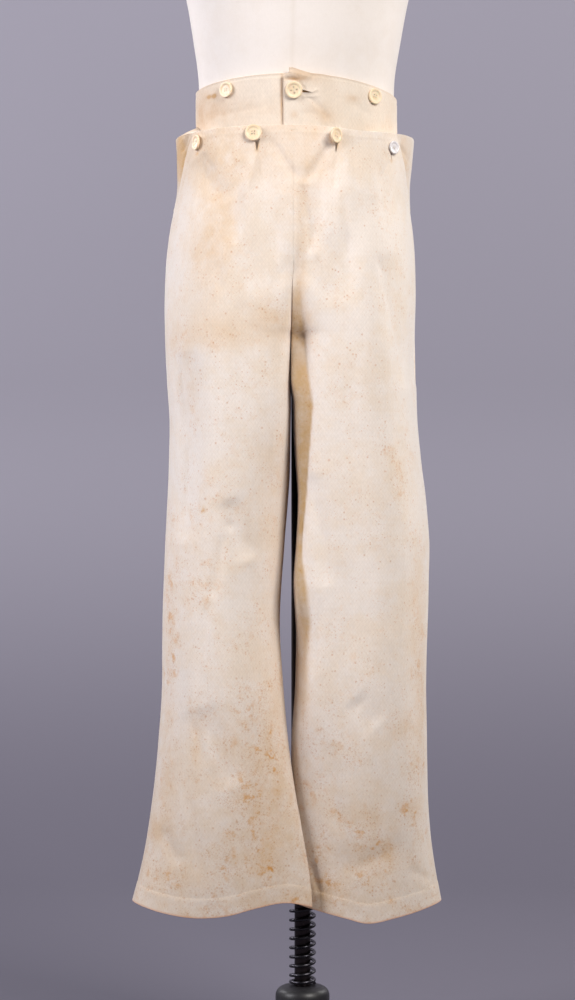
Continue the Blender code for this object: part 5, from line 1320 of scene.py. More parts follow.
def strip_yellowing_and_shade(points, heights):
    """The same yellowing and painted shade where the left leg's inside shows from the front, with
    its edge.
    """
    z, x, fade, strength = INNER_STRIP.T
    place = through(z, x, heights)[:, None]
    fade = np.interp(heights, z, fade)[:, None]
    strength = np.interp(heights, z, strength, left=0.0)[:, None]
    return strength * ease((place - points[..., 0]) / fade + 0.5)


def seam_drop(x, y):
    """How much lower the waistband's seam is at the front and the side than at the back."""
    front = ease((SEAM_DROP_FRONT_Y - y) / SEAM_DROP_FRONT_RUN)
    back = ease(y / SEAM_DROP_BACK_Y)
    side_drop, front_drop = (np.where(x > 0.0, left, right) for right, left in SEAM_DROPS)
    return (side_drop + (front_drop - side_drop) * front) * (1.0 - back)


def close_valley(plan, heights):
    """The left leg's inside comes forward to the right leg's edge, and then turns back."""
    z, x = INNER_STRIP.T[:2]
    edge = sum(through(z, x, heights + VALLEY_SMOOTHING * d) for d in (-1, 0, 1)) / 3.0
    start, end, near = (ease((heights - low) / (high - low))
                        for low, high in (VALLEY_LOW, VALLEY_HIGH, VALLEY_NEAR))
    share = start * (1.0 - end)
    for row, x_edge, amount, close in zip(plan, edge, share, near):
        reach = x_edge - row[-1, 0]
        inside = (row[:, 0] < x_edge) & (row[:, 1] < 0.0)
        if amount == 0.0 or reach <= 0.0:
            continue
        y_edge = float(np.interp(0.0, x_edge - row[:, 0], row[:, 1]))
        part = np.clip((x_edge - row[inside, 0]) / reach, 0.0, 1.0)
        pull = amount * (1.0 - part ** (VALLEY_POWER + VALLEY_NEAR_POWER * close))
        row[inside, 1] += (y_edge - row[inside, 1]) * pull
        swell = bell(part - VALLEY_NEAR_MIDDLE, VALLEY_NEAR_WIDTH) * (part < 1.0)
        row[inside, 0] -= VALLEY_NEAR_SHIFT * amount * close * swell
    return plan


def fill_fork(plan, heights):
    """The centre seam's valley is shallow above the fork, and the two edges meet in it."""
    above = heights > FORK_HIGH_Z
    filled = FORK_FILL * above * (1.0 - ease((heights - FORK_FILL_Z) / FORK_FILL_RUN))
    for row, z, is_above, depth in zip(plan, heights, above, filled):
        if not is_above:
            continue
        apart = np.abs(row[:, 0] - row[-1, 0])
        near = (apart < FORK_FILL_REACH) & (row[:, 1] < 0.0)
        row[near, 1] = np.minimum(row[near, 1], row[-1, 1] - depth)
        ends = [outline(each, "front", z)[-1][0] for each in ("right", "left")]
        own = 0 if abs(ends[0] - row[-1, 0]) < abs(ends[1] - row[-1, 0]) else 1
        move = (ends[1 - own] - ends[own]) / 2.0 * SEAM_MEET
        row[near, 0] += move * (1.0 - apart[near] / FORK_FILL_REACH)
    return plan


def make_cloth(name, outer, inner, cells, uv, ageing_and_shade, material, flip):
    """A cloth wall as an object, its faces outward, with its UV map and its yellowing, wear and
    painted shade.
    """
    vertices, faces, used = wall(outer, inner, cells)
    if flip > 0.0:
        faces = faces[:, ::-1]
    made = add_mesh(name, vertices, faces.tolist(), material, smooth_angle=50.0)
    set_cloth_data(made, *(
        np.concatenate([data.reshape(-1, data.shape[-1])] * 2)[used] for data in (uv, ageing_and_shade)))
    return made


def hang(piece, node, slot, *rests_on):
    """A sheet takes its solid's place and moves with the form. The pieces it rests on are not used.
    """
    wear(piece, node)


def shelved(points, ring, heights, arcs):
    """A grid with rows added that turn in from the hip's top to the waistband's seam."""
    goal = np.column_stack([ring, BAND_LOW_Z - SEAM_GAP - seam_drop(*ring.T)])
    shares = np.linspace(0.0, 1.0, SHELF_ROWS + 1)[1:]
    shelf = points[-1] + (goal - points[-1]) * shares[:, None, None]
    shelf[..., 2] += SHELF_ROUND * np.sin(shares * math.pi)[:, None]
    return (np.concatenate([points, shelf]),
            np.concatenate([heights, HIP_TOP_Z + (BAND_LOW_Z - HIP_TOP_Z) * shares]),
            np.concatenate([arcs, np.repeat(arcs[-1:], SHELF_ROWS, axis=0)]))


def panel_surface(side, face, heights, arcs):
    """Outer points of a panel and their normals, for distances along the cloth in each row."""
    plan = np.array([
        at_distances(outline(side, face, z), arcs[r]) for r, z in enumerate(heights)])
    if (side, face) == ("left", "front"):
        plan = close_valley(plan, heights)
    if face == "front":
        plan = fill_fork(plan, heights)
    z = np.repeat(heights[:, None], arcs.shape[1], axis=1)
    z = z + hem_shift(side, face, plan[..., 0], z)
    if face == "front":
        z = z + fall_shift(plan[..., 0], z)
    points = np.concatenate([plan, z[..., None]], axis=2)
    flip = normal_flip(side, face)
    normals = seam_normals(grid_normals(points, flip), heights, side, face)
    lengths = seam_lengths(side, face, heights)
    on_fall = (heights[:, None] > SLIT_END_Z) & (face == "front")
    from_seam = np.minimum(np.where(on_fall, 1.0, arcs), lengths - arcs)
    sink = np.where(heights > FORK_HIGH_Z, CENTRE_SINK_SHARE, 1.0)[:, None] * SEAM_SINK
    outward = fold_depth(points, face) - sink * bell(from_seam, SEAM_SINK_WIDTH)
    above_hem = heights - HEM_Z
    raised = HEM_RAISE * (1.0 - ease((above_hem - HEM_DEPTH) / HEM_STEP + 0.5))
    outward = outward + raised[:, None]
    wave = np.cos(2.0 * math.pi * arcs / STITCH_PITCH)
    pucker = HEM_PUCKER_EVEN + (1.0 - HEM_PUCKER_EVEN) * wave
    line = bell(above_hem - HEM_DEPTH, HEM_LINE_WIDTH)
    outward = outward - HEM_PUCKER * pucker * line[:, None]
    away = normals.copy()
    at_seam = bell(lengths - arcs, CENTRE_HOLD)
    above = ease((heights - FORK_LOW_Z) / (FORK_HIGH_Z - FORK_LOW_Z))[:, None]
    away[..., 0] *= 1.0 - at_seam * above
    points = points + away * outward[..., None]
    return points, seam_normals(grid_normals(points, flip), heights, side, face)


# Figured cotton, hand-sewn: a cream cloth with a small woven lozenge about 4 by 6 mm. It is
# real at that size. Its threads are 0.4 mm and are drawn at 0.9 mm so that they show.
COTTON = {
    "roughness": 0.88, "thread": 0.0009, "figure_width": 0.0042, "figure_height": 0.0060,
    "figure_tone": "#C9B39B", "relief": 0.00010, "slub": 0.06}
trouser_cotton = woven_cloth("figured_cotton", COTTON | {
    "mottle": 0.50, "ground": "#FBF1E8", "shade": "#F5E2CB", "stain_and_shade": "#E4BB86",
    "rust": "#CF8A40", "edge": "#D99A70", "figure": 0.10, "crumple": 0.0012, "sheen": 0.60,
    "blush": 0.60, "specks": ((300.0, 0.20, 0.55, 1.30, 0.55), (170.0, 0.14, 0.42, 0.70, 0.48),
                              (620.0, 0.25, 0.65, 1.60, 0.48))})


def cloth_uv(side, face, heights, arcs):
    """Distances across and up the cloth, apart for each panel, so that no figures line up."""
    return np.stack([arcs + FACE_SHIFTS[face] + SIDE_SHIFTS[side],
                     np.repeat(heights[:, None], arcs.shape[1], axis=1)], axis=2)


def edge_wear(ageing_and_shade, heights):
    """The lower edge of the hem is rubbed and rusty."""
    worn = bell(heights - HEM_Z, HEM_WEAR_RUN)
    ageing_and_shade[..., 2] = np.maximum(ageing_and_shade[..., 2], worn[:, None])
    return ageing_and_shade


backs = {}
for side in ("right", "left"):
    heights = panel_heights()
    lengths = seam_lengths(side, "back", heights)
    shares = crowded(BACK_COLUMNS, "back")
    arcs = SEAM_GAP / 2 + (lengths - SEAM_GAP) * shares[None, :]
    points, normals = panel_surface(side, "back", heights, arcs)
    ring = spaced(band_outline(side, "back"), 0.0, SEAM_GAP / 2, shares)
    points, heights, arcs = shelved(points, ring, heights, arcs)
    flip = normal_flip(side, "back")
    normals = seam_normals(grid_normals(points, flip), heights, side, "back")
    draw_in = edge_round(heights - HEM_Z)[:, None, None]
    ageing_and_shade = edge_wear(aged_and_shaded(points, "back"), heights)
    ageing_and_shade[..., 0] += BACK_INNER_SHARE * inner_yellowing_and_shade(points * (1.0, -1.0, 1.0), side, heights)
    back = make_cloth(
        f"back_leg_{side}", points - normals * draw_in, points - normals * (WALL - draw_in),
        None, cloth_uv(side, "back", heights, arcs), ageing_and_shade, trouser_cotton, flip)
    backs[side] = (points, normals)
    hang(back, f"back_{side}", "trouser_cloth", "form_torso", f"waistband_{side}")


# The bearers
# A bearer is the strip of the same cotton that carries the side opening. It is sewn in at the
# side seam and the waistband, and its free edge lies under the fall.
BEARER_OPEN_COLUMNS = 30        # in the opening, and under the fall
BEARER_UNDER_COLUMNS = 16
BEARER_UNDER_RUN = 0.030
BEARER_ROWS = 56
BEARER_ROWS_FROM = 0.0025       # the rows of points begin this far above the slit's end,
BEARER_LOW_ROWS = (0.0, 0.0008)     # and two more lie close to it
BEARER_SHIFT = 0.27             # it is cut beside its front
BEARER_FLUSH_WIDTH = 0.013      # it sinks behind the fall over this width
BEARER_OPEN_EDGE = 0.004        # its own folds fade out over this width at the fall
BEARER_PAINTED_SHADE = 0.93             # painted shade: the bearers lie back behind the fall and are drawn greyer than it
for side in ("right", "left"):
    heights = np.concatenate([
        SLIT_END_Z + SEAM_GAP + np.array(BEARER_LOW_ROWS),
        np.linspace(SLIT_END_Z + BEARER_ROWS_FROM, HIP_TOP_Z, BEARER_ROWS)])
    open_parts = np.linspace(0.0, 1.0, BEARER_OPEN_COLUMNS, endpoint=False)
    under_parts = np.linspace(0.0, 1.0, BEARER_UNDER_COLUMNS)
    slits = slit_arc(heights)[:, None]
    arcs = np.concatenate([SEAM_GAP / 2 + (slits - SEAM_GAP / 2) * open_parts,
                           slits + BEARER_UNDER_RUN * under_parts], axis=1)
    plan = np.array([at_distances(outline(side, "front", z), arcs[r])
                     for r, z in enumerate(heights)])
    z = np.repeat(heights[:, None], arcs.shape[1], axis=1)
    z = z + fall_shift(plan[..., 0], z)
    points = np.concatenate([plan, z[..., None]], axis=2)
    flip = normal_flip(side, "front")
    outward = fold_depth(points, "front")
    sunk = ease((arcs - slits + BEARER_FLUSH_WIDTH) / BEARER_FLUSH_WIDTH)
    outward = outward - (WALL + LAYER_GAP) * sunk
    in_open = 1.0 - ease((arcs - slits + BEARER_OPEN_EDGE) / BEARER_OPEN_EDGE)
    outward = outward + fold_depth(points, "bearer") * in_open
    points = points + grid_normals(points, flip) * outward[..., None]
    ring_line = band_outline(side, "front")
    reach = arc_length(ring_line[side_sign(side) * (ring_line[:, 0] - CENTRE_FRONT_X)
                                 < BEARER_END_X])
    along = distances(points[-1, :, :2])
    ring = spaced(ring_line, 0.0, reach, along / along[-1])
    points, heights, arcs = shelved(points, ring, heights, arcs)
    normals = grid_normals(points, flip)
    normals[:, 0, 1] = 0.0
    normals /= np.linalg.norm(normals, axis=2, keepdims=True)
    bearer = make_cloth(
        f"bearer_strip_{side}", points, points - normals * WALL, None,
        cloth_uv(side, "front", heights, arcs + BEARER_SHIFT),
        aged_and_shaded(points, "bearer") * (1.0, 1.0, 1.0, BEARER_PAINTED_SHADE),
        trouser_cotton, flip)
    hang(bearer, f"bearer_{side}", "trouser_cloth", "form_torso", f"waistband_{side}")


# The front legs and the fall
# Each front is one length of the figured cotton, and the two are sewn down the centre. Above
# the hip they are slit at the sides, so they make the fall: a flap that drops from the
# waistband and buttons up to it at its top corners and beside its middle.
SIDE_COLUMNS = 12
FLAP_COLUMNS = 80
FACING_WIDTH = 0.009            # the fall's edges are turned in and stitched
FACING_RAISE = 0.00035
FACING_STEP = 0.0016
FLAP_EDGE = (0.0003, 0.0009)    # the first columns of the flap are this far from its edge
SLIT_RUN = 0.005                # the cloth parts over this height before a slit and after it
SLIT_REACH = 0.008              # and gives way this far beside it
# Side, place across at its upper end, lower and upper end, width there and there, drift
# across for each metre up
SLITS = (
    ("right", -0.0522, 1.0575, 1.0760, 0.0003, 0.0092, 0.03),
    ("left", 0.0392, 1.0550, 1.0770, 0.0005, 0.0062, -0.10),
    ("right", -0.1212, 1.0585, 1.0665, 0.0003, 0.0024, 0.0),
    ("left", 0.1010, 1.0495, 1.0630, 0.0003, 0.0026, 0.22),
)
fronts = {}
for side in ("right", "left"):
    heights = panel_heights()
    lengths = seam_lengths(side, "front", heights)
    slits = slit_arc(np.maximum(heights, SLIT_END_Z))[:, None]
    side_parts = np.linspace(0.0, 1.0, SIDE_COLUMNS, endpoint=False)
    flap = slits + FLAP_EDGE[1]
    arcs = np.concatenate([
        SEAM_GAP / 2 + (slits - SEAM_GAP / 2) * side_parts, slits, slits + FLAP_EDGE[0],
        flap + (lengths - SEAM_GAP / 2 - flap) * crowded(FLAP_COLUMNS, "front")], axis=1)
    cells = np.ones((len(heights) - 1, arcs.shape[1] - 1), dtype=bool)
    cells[heights[:-1] >= SLIT_END_Z, :SIDE_COLUMNS] = False
    for slit_side, x, z_low, z_high, width_low, width_high, drift in SLITS:
        if slit_side != side:
            continue
        top_row = int(np.argmin(np.abs(heights - z_high)))
        line = outline(side, "front", heights[top_row])
        order = np.argsort(line[:, 0])
        middle = float(np.interp(x, line[order, 0], distances(line)[order]))
        column = int(np.argmin(np.abs(0.5 * (arcs[top_row, :-1] + arcs[top_row, 1:]) - middle)))
        for r, z in enumerate(heights):
            near = float(ease((z - z_low) / SLIT_RUN + 1.0) * (1.0 - ease((z - z_high) / SLIT_RUN)))
            if near == 0.0:
                continue
            share = float(np.clip((z - z_low) / (z_high - z_low), 0.0, 1.0))
            half = 0.5 * (width_low + (width_high - width_low) * share)
            here = middle - side_sign(side) * drift * (z_high - z)
            before = arcs[r].copy()
            for edge, wanted, moved in (
                    (before[column], here - half, slice(None, column + 1)),
                    (before[column + 1], here + half, slice(column + 1, None))):
                fade = np.exp(-np.abs(before[moved] - edge) / SLIT_REACH)
                arcs[r, moved] += near * (wanted - edge) * fade
            if z_low <= z < z_high:
                cells[r, column] = False
    points, normals = panel_surface(side, "front", heights, arcs)
    on_fall = heights[:, None] >= SLIT_END_Z
    from_top = np.repeat((HIP_TOP_Z - heights)[:, None], arcs.shape[1], axis=1)
    from_edge = np.where(on_fall, np.minimum(from_top, np.abs(arcs - slits)), from_top)
    facing = FACING_RAISE * (1.0 - ease((from_edge - FACING_WIDTH) / FACING_STEP))
    points = points + normals * facing[..., None]
    flip = normal_flip(side, "front")
    draw_in = edge_round(np.minimum(from_edge, (heights - HEM_Z)[:, None]))[..., None]
    ageing_and_shade = edge_wear(aged_and_shaded(points, "front"), heights)
    inner = inner_yellowing_and_shade(points, side, heights)
    # On the left leg, the strip that shows between the legs gets yellowing and painted shade, and
    # painted shade greys it too.
    if side == "left":
        strip = strip_yellowing_and_shade(points, heights)
        inner = np.maximum(inner, strip)
        ageing_and_shade[..., 3] *= 1.0 - STRIP_PAINTED_SHADE * strip
    ageing_and_shade[..., 0] += inner
    front = make_cloth(
        f"front_leg_{side}", points - normals * draw_in, points - normals * (WALL - draw_in),
        cells, cloth_uv(side, "front", heights, arcs), ageing_and_shade, trouser_cotton, flip)
    fronts[side] = (points, normals)
    hang(front, f"front_{side}", "trouser_cloth", "form_torso", f"waistband_{side}",
         f"bearer_{side}")


# The waistband
# Two halves of cotton over a linen canvas, joined at the centre back. The left half laps over
# the right at the front, and its loose upper corner has curled outwards and yellowed.
BAND_AROUND = 330
BAND_ROWS = 44
BAND_MIDDLE_ROW = 20        # the cloth's length is measured along this one
BAND_ROUND = 2.0            # its edges are rounder than those of one layer
BAND_SINK = 0.0005          # a line of stitches draws the cloth in along each edge
BAND_SINK_EDGE = 0.003
BAND_SINK_WIDTH = 0.0013
BAND_UV = {"right": 2.3, "left": 3.4}   # each half is another part of the same length
BAND_DIP_X = 0.0897         # here the lower edge steps down at once, at the bearer's end
BAND_DIP_RUN = 0.0015
CORNER_FOLD_HEIGHT = 0.0085     # the top of the loose corner is folded back
CORNER_FOLD_RUN = 0.003
CORNER_FOLD_REACH = 0.0065
CORNER_FOLD_WIDTH = 0.009
BAND_WEAR = 0.5             # its edges are rubbed
BAND_WEAR_WIDTH = 0.0012
# The end of the waist buttonhole: from and to across, its heights there, and its opening
BUTTONHOLE = (-0.0060, 0.0100, 1.1270, 1.1245, 0.0028)
BUTTONHOLE_FULL = 0.4       # it opens most at this share of its length
BUTTONHOLE_REACH = 5.0      # the cloth gives way over so many rows of the mesh
BUTTONHOLE_FADE = 0.2       # and beyond its ends over this share of its length
BUTTONHOLE_SLIT = 0.00015   # half its width at the ends
waistband_cotton = woven_cloth("waistband_cotton", COTTON | {
    "mottle": 0.38, "ground": "#F6E9DA", "shade": "#F1DEC8", "stain_and_shade": "#D6AC7C",
    "rust": "#B97A45", "edge": "#D8B48E", "figure": 0.08, "crumple": 0.0014, "sheen": 0.45,
    "blush": 0.20, "specks": ((340.0, 0.12, 0.36, 0.80, 0.45), (190.0, 0.10, 0.30, 0.50, 0.40))})


def band_top(x, y):
    """The waistband's top edge is higher at the front, and lower at the left side."""
    front = np.clip(-y / BAND_HALF_DEPTH, 0.0, 1.0)
    drop = BAND_LEFT_DROP * np.clip(x / BAND_HALF_WIDTH, 0.0, 1.0) ** BAND_DROP_POWER
    return BAND_TOP_SIDE_Z + (BAND_TOP_FRONT_Z - BAND_TOP_SIDE_Z) * front ** 2 - drop


def band_bottom(x, y):
    """Behind the fall the waistband's lower edge is deeper."""
    across = np.abs(x - CENTRE_FRONT_X)
    behind = ease((BAND_DIP_X - across) / BAND_DIP_RUN) * (y < 0.0)
    seam = BAND_LOW_Z - seam_drop(x, y)
    return seam + (BAND_LOW_FRONT_Z - seam) * behind


def band_lift(side, x):
    """Where the left half lies over the right, it stands out by a layer."""
    if side == "right":
        return np.zeros_like(x)
    return (BAND_WALL + LAYER_GAP) * ease((BAND_LAP_X - x) / BAND_LAP_RUN)


def waistband_points(side, columns, parts):
    """Outer points of half the waistband, from the centre back round to the front."""
    sign = side_sign(side)
    back = band_outline(side, "back")[::-1]
    end_x = UNDERLAP_END_X if side == "right" else OVERLAP_END_X
    angle = np.linspace(0.0, math.pi, 4 * CURVE_POINTS)
    across = np.sign(np.cos(angle)) * np.abs(np.cos(angle)) ** (2 / BAND_POWER)
    x = BAND_CENTRE_X + sign * BAND_HALF_WIDTH * across
    y = -BAND_HALF_DEPTH * np.sin(angle) ** (2 / BAND_POWER)
    keep = sign * (x - end_x) >= 0.0
    front = np.stack([x[keep], y[keep]], axis=1)
    around = np.concatenate([back, front[1:]])
    ring = spaced(around, SEAM_GAP / 2, 0.0, np.linspace(0.0, 1.0, columns))
    front_side = ring[:, 1] < 0.0
    bottom = band_bottom(ring[:, 0], ring[:, 1])
    top = band_top(ring[:, 0], ring[:, 1])
    corner = np.zeros(columns)
    if side == "left":
        corner = ease((BAND_CORNER_X - ring[:, 0]) / BAND_CORNER_RUN) * front_side
    rows = []
    for part in parts:
        z = bottom + (top - bottom + BAND_LIFT * corner) * part
        lean = BAND_GAPE * corner * max(part - BAND_LEAN_PART, 0.0) / (1.0 - BAND_LEAN_PART)
        lift = band_lift(side, ring[:, 0]) * front_side + lean
        rows.append(np.stack([ring[:, 0], ring[:, 1] - lift, z], axis=1))
    points = np.array(rows)
    normals = grid_normals(points, side_sign(side))
    normals[:, 0, 0] = 0.0
    return points, normals / np.linalg.norm(normals, axis=2, keepdims=True)


def open_buttonhole(points):
    """Part the cloth at the buttonhole's end, and say which cells of the mesh stay."""
    x_from, x_to, z_from, z_to, opening = BUTTONHOLE
    across = points[len(points) // 2, :, 0]
    in_front = points[0, :, 1] < 0.0
    part = (across - x_from) / (x_to - x_from)
    beyond = np.maximum(np.maximum(-part, part - 1.0), 0.0)
    column_share = np.where(in_front, bell(beyond, BUTTONHOLE_FADE), 0.0)
    part = np.clip(part, 0.0, 1.0)
    middle = z_from + (z_to - z_from) * part
    half = np.where(part < BUTTONHOLE_FULL, part / BUTTONHOLE_FULL,
                    (1.0 - part) / (1.0 - BUTTONHOLE_FULL)) * opening / 2 + BUTTONHOLE_SLIT
    cut = np.where(in_front & (beyond == 0.0))[0]
    row = int(np.argmin(np.abs(points[:, cut[0], 2] - z_from)))
    number = np.arange(len(points))[:, None]
    apart = np.maximum(np.abs(number - row - 0.5) - 0.5, 0.0)
    share = bell(apart, BUTTONHOLE_REACH) * column_share[None, :]
    shift = np.where(number <= row, (middle - half - points[row, :, 2])[None, :],
                     (middle + half - points[row + 1, :, 2])[None, :])
    points[..., 2] += share * shift
    cells = np.ones(np.array(points.shape[:2]) - 1, dtype=bool)
    cells[row, cut[0]:cut[-1]] = False
    return points, cells


bands = {}
for side in ("right", "left"):
    parts = np.concatenate([[0.0, 0.008, 0.022], np.linspace(0.04, 0.96, BAND_ROWS),
                            [0.978, 0.992, 1.0]])
    points, normals = waistband_points(side, BAND_AROUND, parts)
    ahead = points[0, :, 1] < 0.0
    if side == "left":
        below = points[-1, :, 2] - points[..., 2]
        folded = 1.0 - ease((below - CORNER_FOLD_HEIGHT) / CORNER_FOLD_RUN + 1.0)
        end_share = bell(points[..., 0] - points[0, -1, 0], CORNER_FOLD_WIDTH) * ahead[None, :]
        points[..., 0] += CORNER_FOLD_REACH * folded * end_share
        normals = grid_normals(points, side_sign(side))
    outward = fold_depth(points, "band_" + side) * ahead[None, :]
    height = points[-1, :, 2] - points[0, :, 2]
    below_top = (1.0 - parts)[:, None] * height[None, :]
    above_low = parts[:, None] * height[None, :]
    for inside in (below_top, above_low):
        line = bell(inside - BAND_SINK_EDGE, BAND_SINK_WIDTH)
        outward = outward - BAND_SINK * line
    points = points + normals * outward[..., None]
    cells = None
    if side == "left":
        points, cells = open_buttonhole(points)
    run = distances(points[BAND_MIDDLE_ROW])
    from_end = (run[-1] - run)[None, :]
    edge = np.minimum(np.minimum(below_top, above_low), from_end)
    draw_in = (edge_round(edge) * BAND_ROUND)[..., None]
    uv = np.stack([np.repeat(run[None, :], len(parts), axis=0) + BAND_UV[side], above_low], axis=2)
    ageing_and_shade = aged_and_shaded(points, "band_" + side)
    ageing_and_shade[..., 2] = np.maximum(ageing_and_shade[..., 2], BAND_WEAR * bell(edge, BAND_WEAR_WIDTH))
    band = make_cloth(
        f"waistband_half_{side}", points - normals * draw_in,
        points - normals * (BAND_WALL - draw_in), cells, uv, ageing_and_shade, waistband_cotton,
        side_sign(side))
    bands[side] = (points, normals)
    hang(band, f"waistband_{side}", "waistband", "form_torso")


# The buttons
# Seven turned buttons hold the fall, the waistband and the braces. Six are bone, and the
# one at the fall's left corner is a white china replacement.
BUTTON_SEGMENTS = 72
HOLE_SEGMENTS = 20
HOLES = 4
THREAD_SHARE = 0.64         # the thread lies at this share of the button's height
# Node, side, place across and up, radius, thickness, radius of the circle of holes, radius of
# a hole and height over the cloth in millimetres, then tilt, lean and spin in degrees, material
BUTTONS = (
    ("button_fall_inner_right", "right", -54.6, 1078.2, 9.8, 3.0, 2.2, 0.80, 0.6, 0, 0, 45, "bone"),
    ("button_fall_inner_left", "left", 38.2, 1073.5, 9.2, 3.2, 2.2, 0.80, 4.0, 40, 12, 40, "bone"),
    ("button_fall_corner_right", "right", -122.0, 1070.0, 9.0, 3.0, 2.0, 0.75, 0.8, -14, 0, 45,
     "bone"),
    ("button_fall_corner_left", "left", 103.0, 1064.8, 7.8, 3.2, 1.7, 0.65, 0.8, -6, 0, 20,
     "china"),
    ("button_brace_right", "right", -87.2, 1131.4, 9.2, 3.0, 2.1, 0.70, 0.6, 0, 0, 45, "bone"),
    ("button_brace_left", "left", 82.0, 1124.6, 9.4, 3.0, 2.1, 0.75, 0.8, -8, 0, 30, "bone"),
    ("button_waist", "left", -10.8, 1127.2, 10.0, 3.2, 3.3, 0.90, 0.6, 0, 0, 8, "bone"),
)
# Radius and height, as shares of the button's, and how far the corner is rounded
BUTTON_TURNING = (
    (0.0, 0.0, 0.0), (0.86, 0.0, 0.0004), (1.0, 0.45, 0.0008), (0.93, 1.0, 0.0006),
    (0.72, 0.92, 0.0008), (0.60, 0.62, 0.0008), (0.0, 0.60, 0.0))

# Turned cattle bone: yellowed, with fine darker pores along the grain and a soft polish.
bone, tree, shader = new_material(
    "turned_bone", IOR=1.54, Subsurface_Weight=0.12, Subsurface_Scale=0.002, Coat_Weight=0.15,
    Coat_Roughness=0.25)
pores = cloudy(tree, own_place(tree, (2200.0, 900.0, 300.0)), 1.0, 3.0, 0.6)
cloud = cloudy(tree, own_place(tree), 160.0, 3.0)
tint = tinted(tree, cloud, "#F3D9B0", "#FBE9CE")
plug(tree, shader, Base_Color=tinted(tree, graded(tree, pores, 0.60, 0.72), tint, "#DDBB8A"),
     Roughness=graded(tree, cloud, 0.3, 0.7, 0.34, 0.5, smooth=False))

# Glazed white china: pure white, with a wet glaze that has a few grey firing specks.
china, tree, shader = new_material("glazed_china", IOR=1.5, Coat_Weight=0.8, Coat_Roughness=0.05)
specks = add_node(tree, "ShaderNodeTexVoronoi", {"Vector": own_place(tree), "Scale": 700.0})
spot = maths(tree, "MULTIPLY", graded(tree, specks, 0.05, 0.16, 1.0, 0.0), 0.12)
plug(tree, shader, Base_Color=tinted(tree, spot, "#F0EBEC", "#8C8C90"),
     Roughness=graded(tree, specks, 0.0, 1.0, 0.12, 0.2, smooth=False))
BUTTON_MATERIALS = {"bone": (bone, "bone_button"), "china": (china, "china_button")}


def hole_place(hole, hole_circle, height):
    """The middle of one of a button's holes, at a height in it."""
    angle = 2.0 * math.pi / HOLES * hole
    return Vector((hole_circle * math.cos(angle), hole_circle * math.sin(angle), height))


def button_mesh(radius, height, hole_circle, hole_radius):
    """A turned disc with a rim and a sunk middle, and four holes bored through."""
    profile = [(radius * share, height * up, corner) for share, up, corner in BUTTON_TURNING]
    disc = turned("button_disc", profile, BUTTON_SEGMENTS, bone)
    work = bmesh.new()
    for hole in range(HOLES):
        place = Matrix.Translation(hole_place(hole, hole_circle, height / 2))
        bmesh.ops.create_cone(work, cap_ends=True, segments=HOLE_SEGMENTS, radius1=hole_radius,
                              radius2=hole_radius, depth=2.0 * height, matrix=place)
    cutter_mesh = bpy.data.meshes.new("drill")
    work.to_mesh(cutter_mesh)
    work.free()
    cutter = bpy.data.objects.new("drill", cutter_mesh)
    bpy.context.scene.collection.objects.link(cutter)
    cut = disc.modifiers.new("holes", "BOOLEAN")
    cut.operation = "DIFFERENCE"
    cut.solver = "EXACT"
    cut.object = cutter
    graph = bpy.context.evaluated_depsgraph_get()
    mesh = bpy.data.meshes.new_from_object(disc.evaluated_get(graph))
    disc.modifiers.remove(cut)
    bpy.data.objects.remove(disc)
    bpy.data.objects.remove(cutter)
    return mesh


def nearest(surface, x, z):
    """The point of a fine grid nearest to a place seen from the front, and its normal."""
    points, normals = surface
    away = (points[..., 0] - x) ** 2 + (points[..., 2] - z) ** 2
    away = np.where(points[..., 1] < 0.0, away, 1.0)
    r, c = np.unravel_index(np.argmin(away), away.shape)
    return Vector(points[r, c]), Vector(normals[r, c])


thread_places = []          # the threads of the buttons, for the sewing below
for name, side, *lengths, tilt, lean, spin, stuff in BUTTONS:
    x, z, radius, height, hole_circle, hole_radius, seat = (length * MM for length in lengths)
    surface = fronts[side] if name.startswith("button_fall") else bands[side]
    place, normal = nearest(surface, x, z)
    turn = normal.to_track_quat("Z", "Y").to_matrix().to_4x4()
    turn = Matrix.Rotation(math.radians(tilt), 4, "Z") @ turn
    turn = Matrix.Rotation(math.radians(lean), 4, "Y") @ turn
    whole = Matrix.Translation(place + normal * seat) @ turn \
        @ Matrix.Rotation(math.radians(spin), 4, "Z")
    mesh = button_mesh(radius, height, hole_circle, hole_radius)
    mesh.transform(whole)
    mesh.shade_smooth()
    mesh.set_sharp_from_angle(angle=math.radians(40.0))
    material, slot_name = BUTTON_MATERIALS[stuff]
    mesh.materials.clear()
    mesh.materials.append(material)
    button = bpy.data.objects.new(f"sewn_{name}", mesh)
    bpy.context.scene.collection.objects.link(button)
    for crossing in ((0, 2), (1, 3)):
        thread_places.append([
            whole @ hole_place(hole, hole_circle, height * THREAD_SHARE) for hole in crossing])
    wear(button, name)


# The sewing
# Everything is sewn by hand with linen thread: small running stitches at the hems, the fall
# and the waistband, a bar at each slit's end and at the top of the centre seam, and a cross
# in each button.
STITCH_LENGTH = 0.0019
STITCH_THICKNESS = 0.00042
STITCH_LIFT = 0.00012
STITCH_UNEVENNESS = 0.18
STITCH_SEED = 7
HALF_STEP = 0.0008              # a stitch's direction is taken this far before and after it
CENTRE_TACK_ROW = -6            # a short bar of stitches holds the top of the centre seam
TACK_PITCH = 0.0011
SLIT_TACK = (0.0010, 0.0030)    # pitch and length of the bar at the slit's end
FALL_STITCH = (0.0042, 0.0013)  # along the fall's edges
BAND_STITCH = (0.0036, 0.0013)  # and the waistband's, on these rows of its mesh
BAND_STITCH_ROWS = (5, -6)
THREAD_REACH = 1.25             # the buttons' threads reach a little into their holes
stitch_tree, stitch_inputs, given, result = new_tree("sewn_stitches", {
    "Thickness": "NodeSocketFloat", "Unevenness": "NodeSocketFloat", "Seed": "NodeSocketInt",
    "Material": "NodeSocketMaterial"})
direction = add_node(stitch_tree, "GeometryNodeInputNamedAttribute", {
    "Name": "thread_direction"}, data_type="FLOAT_VECTOR")
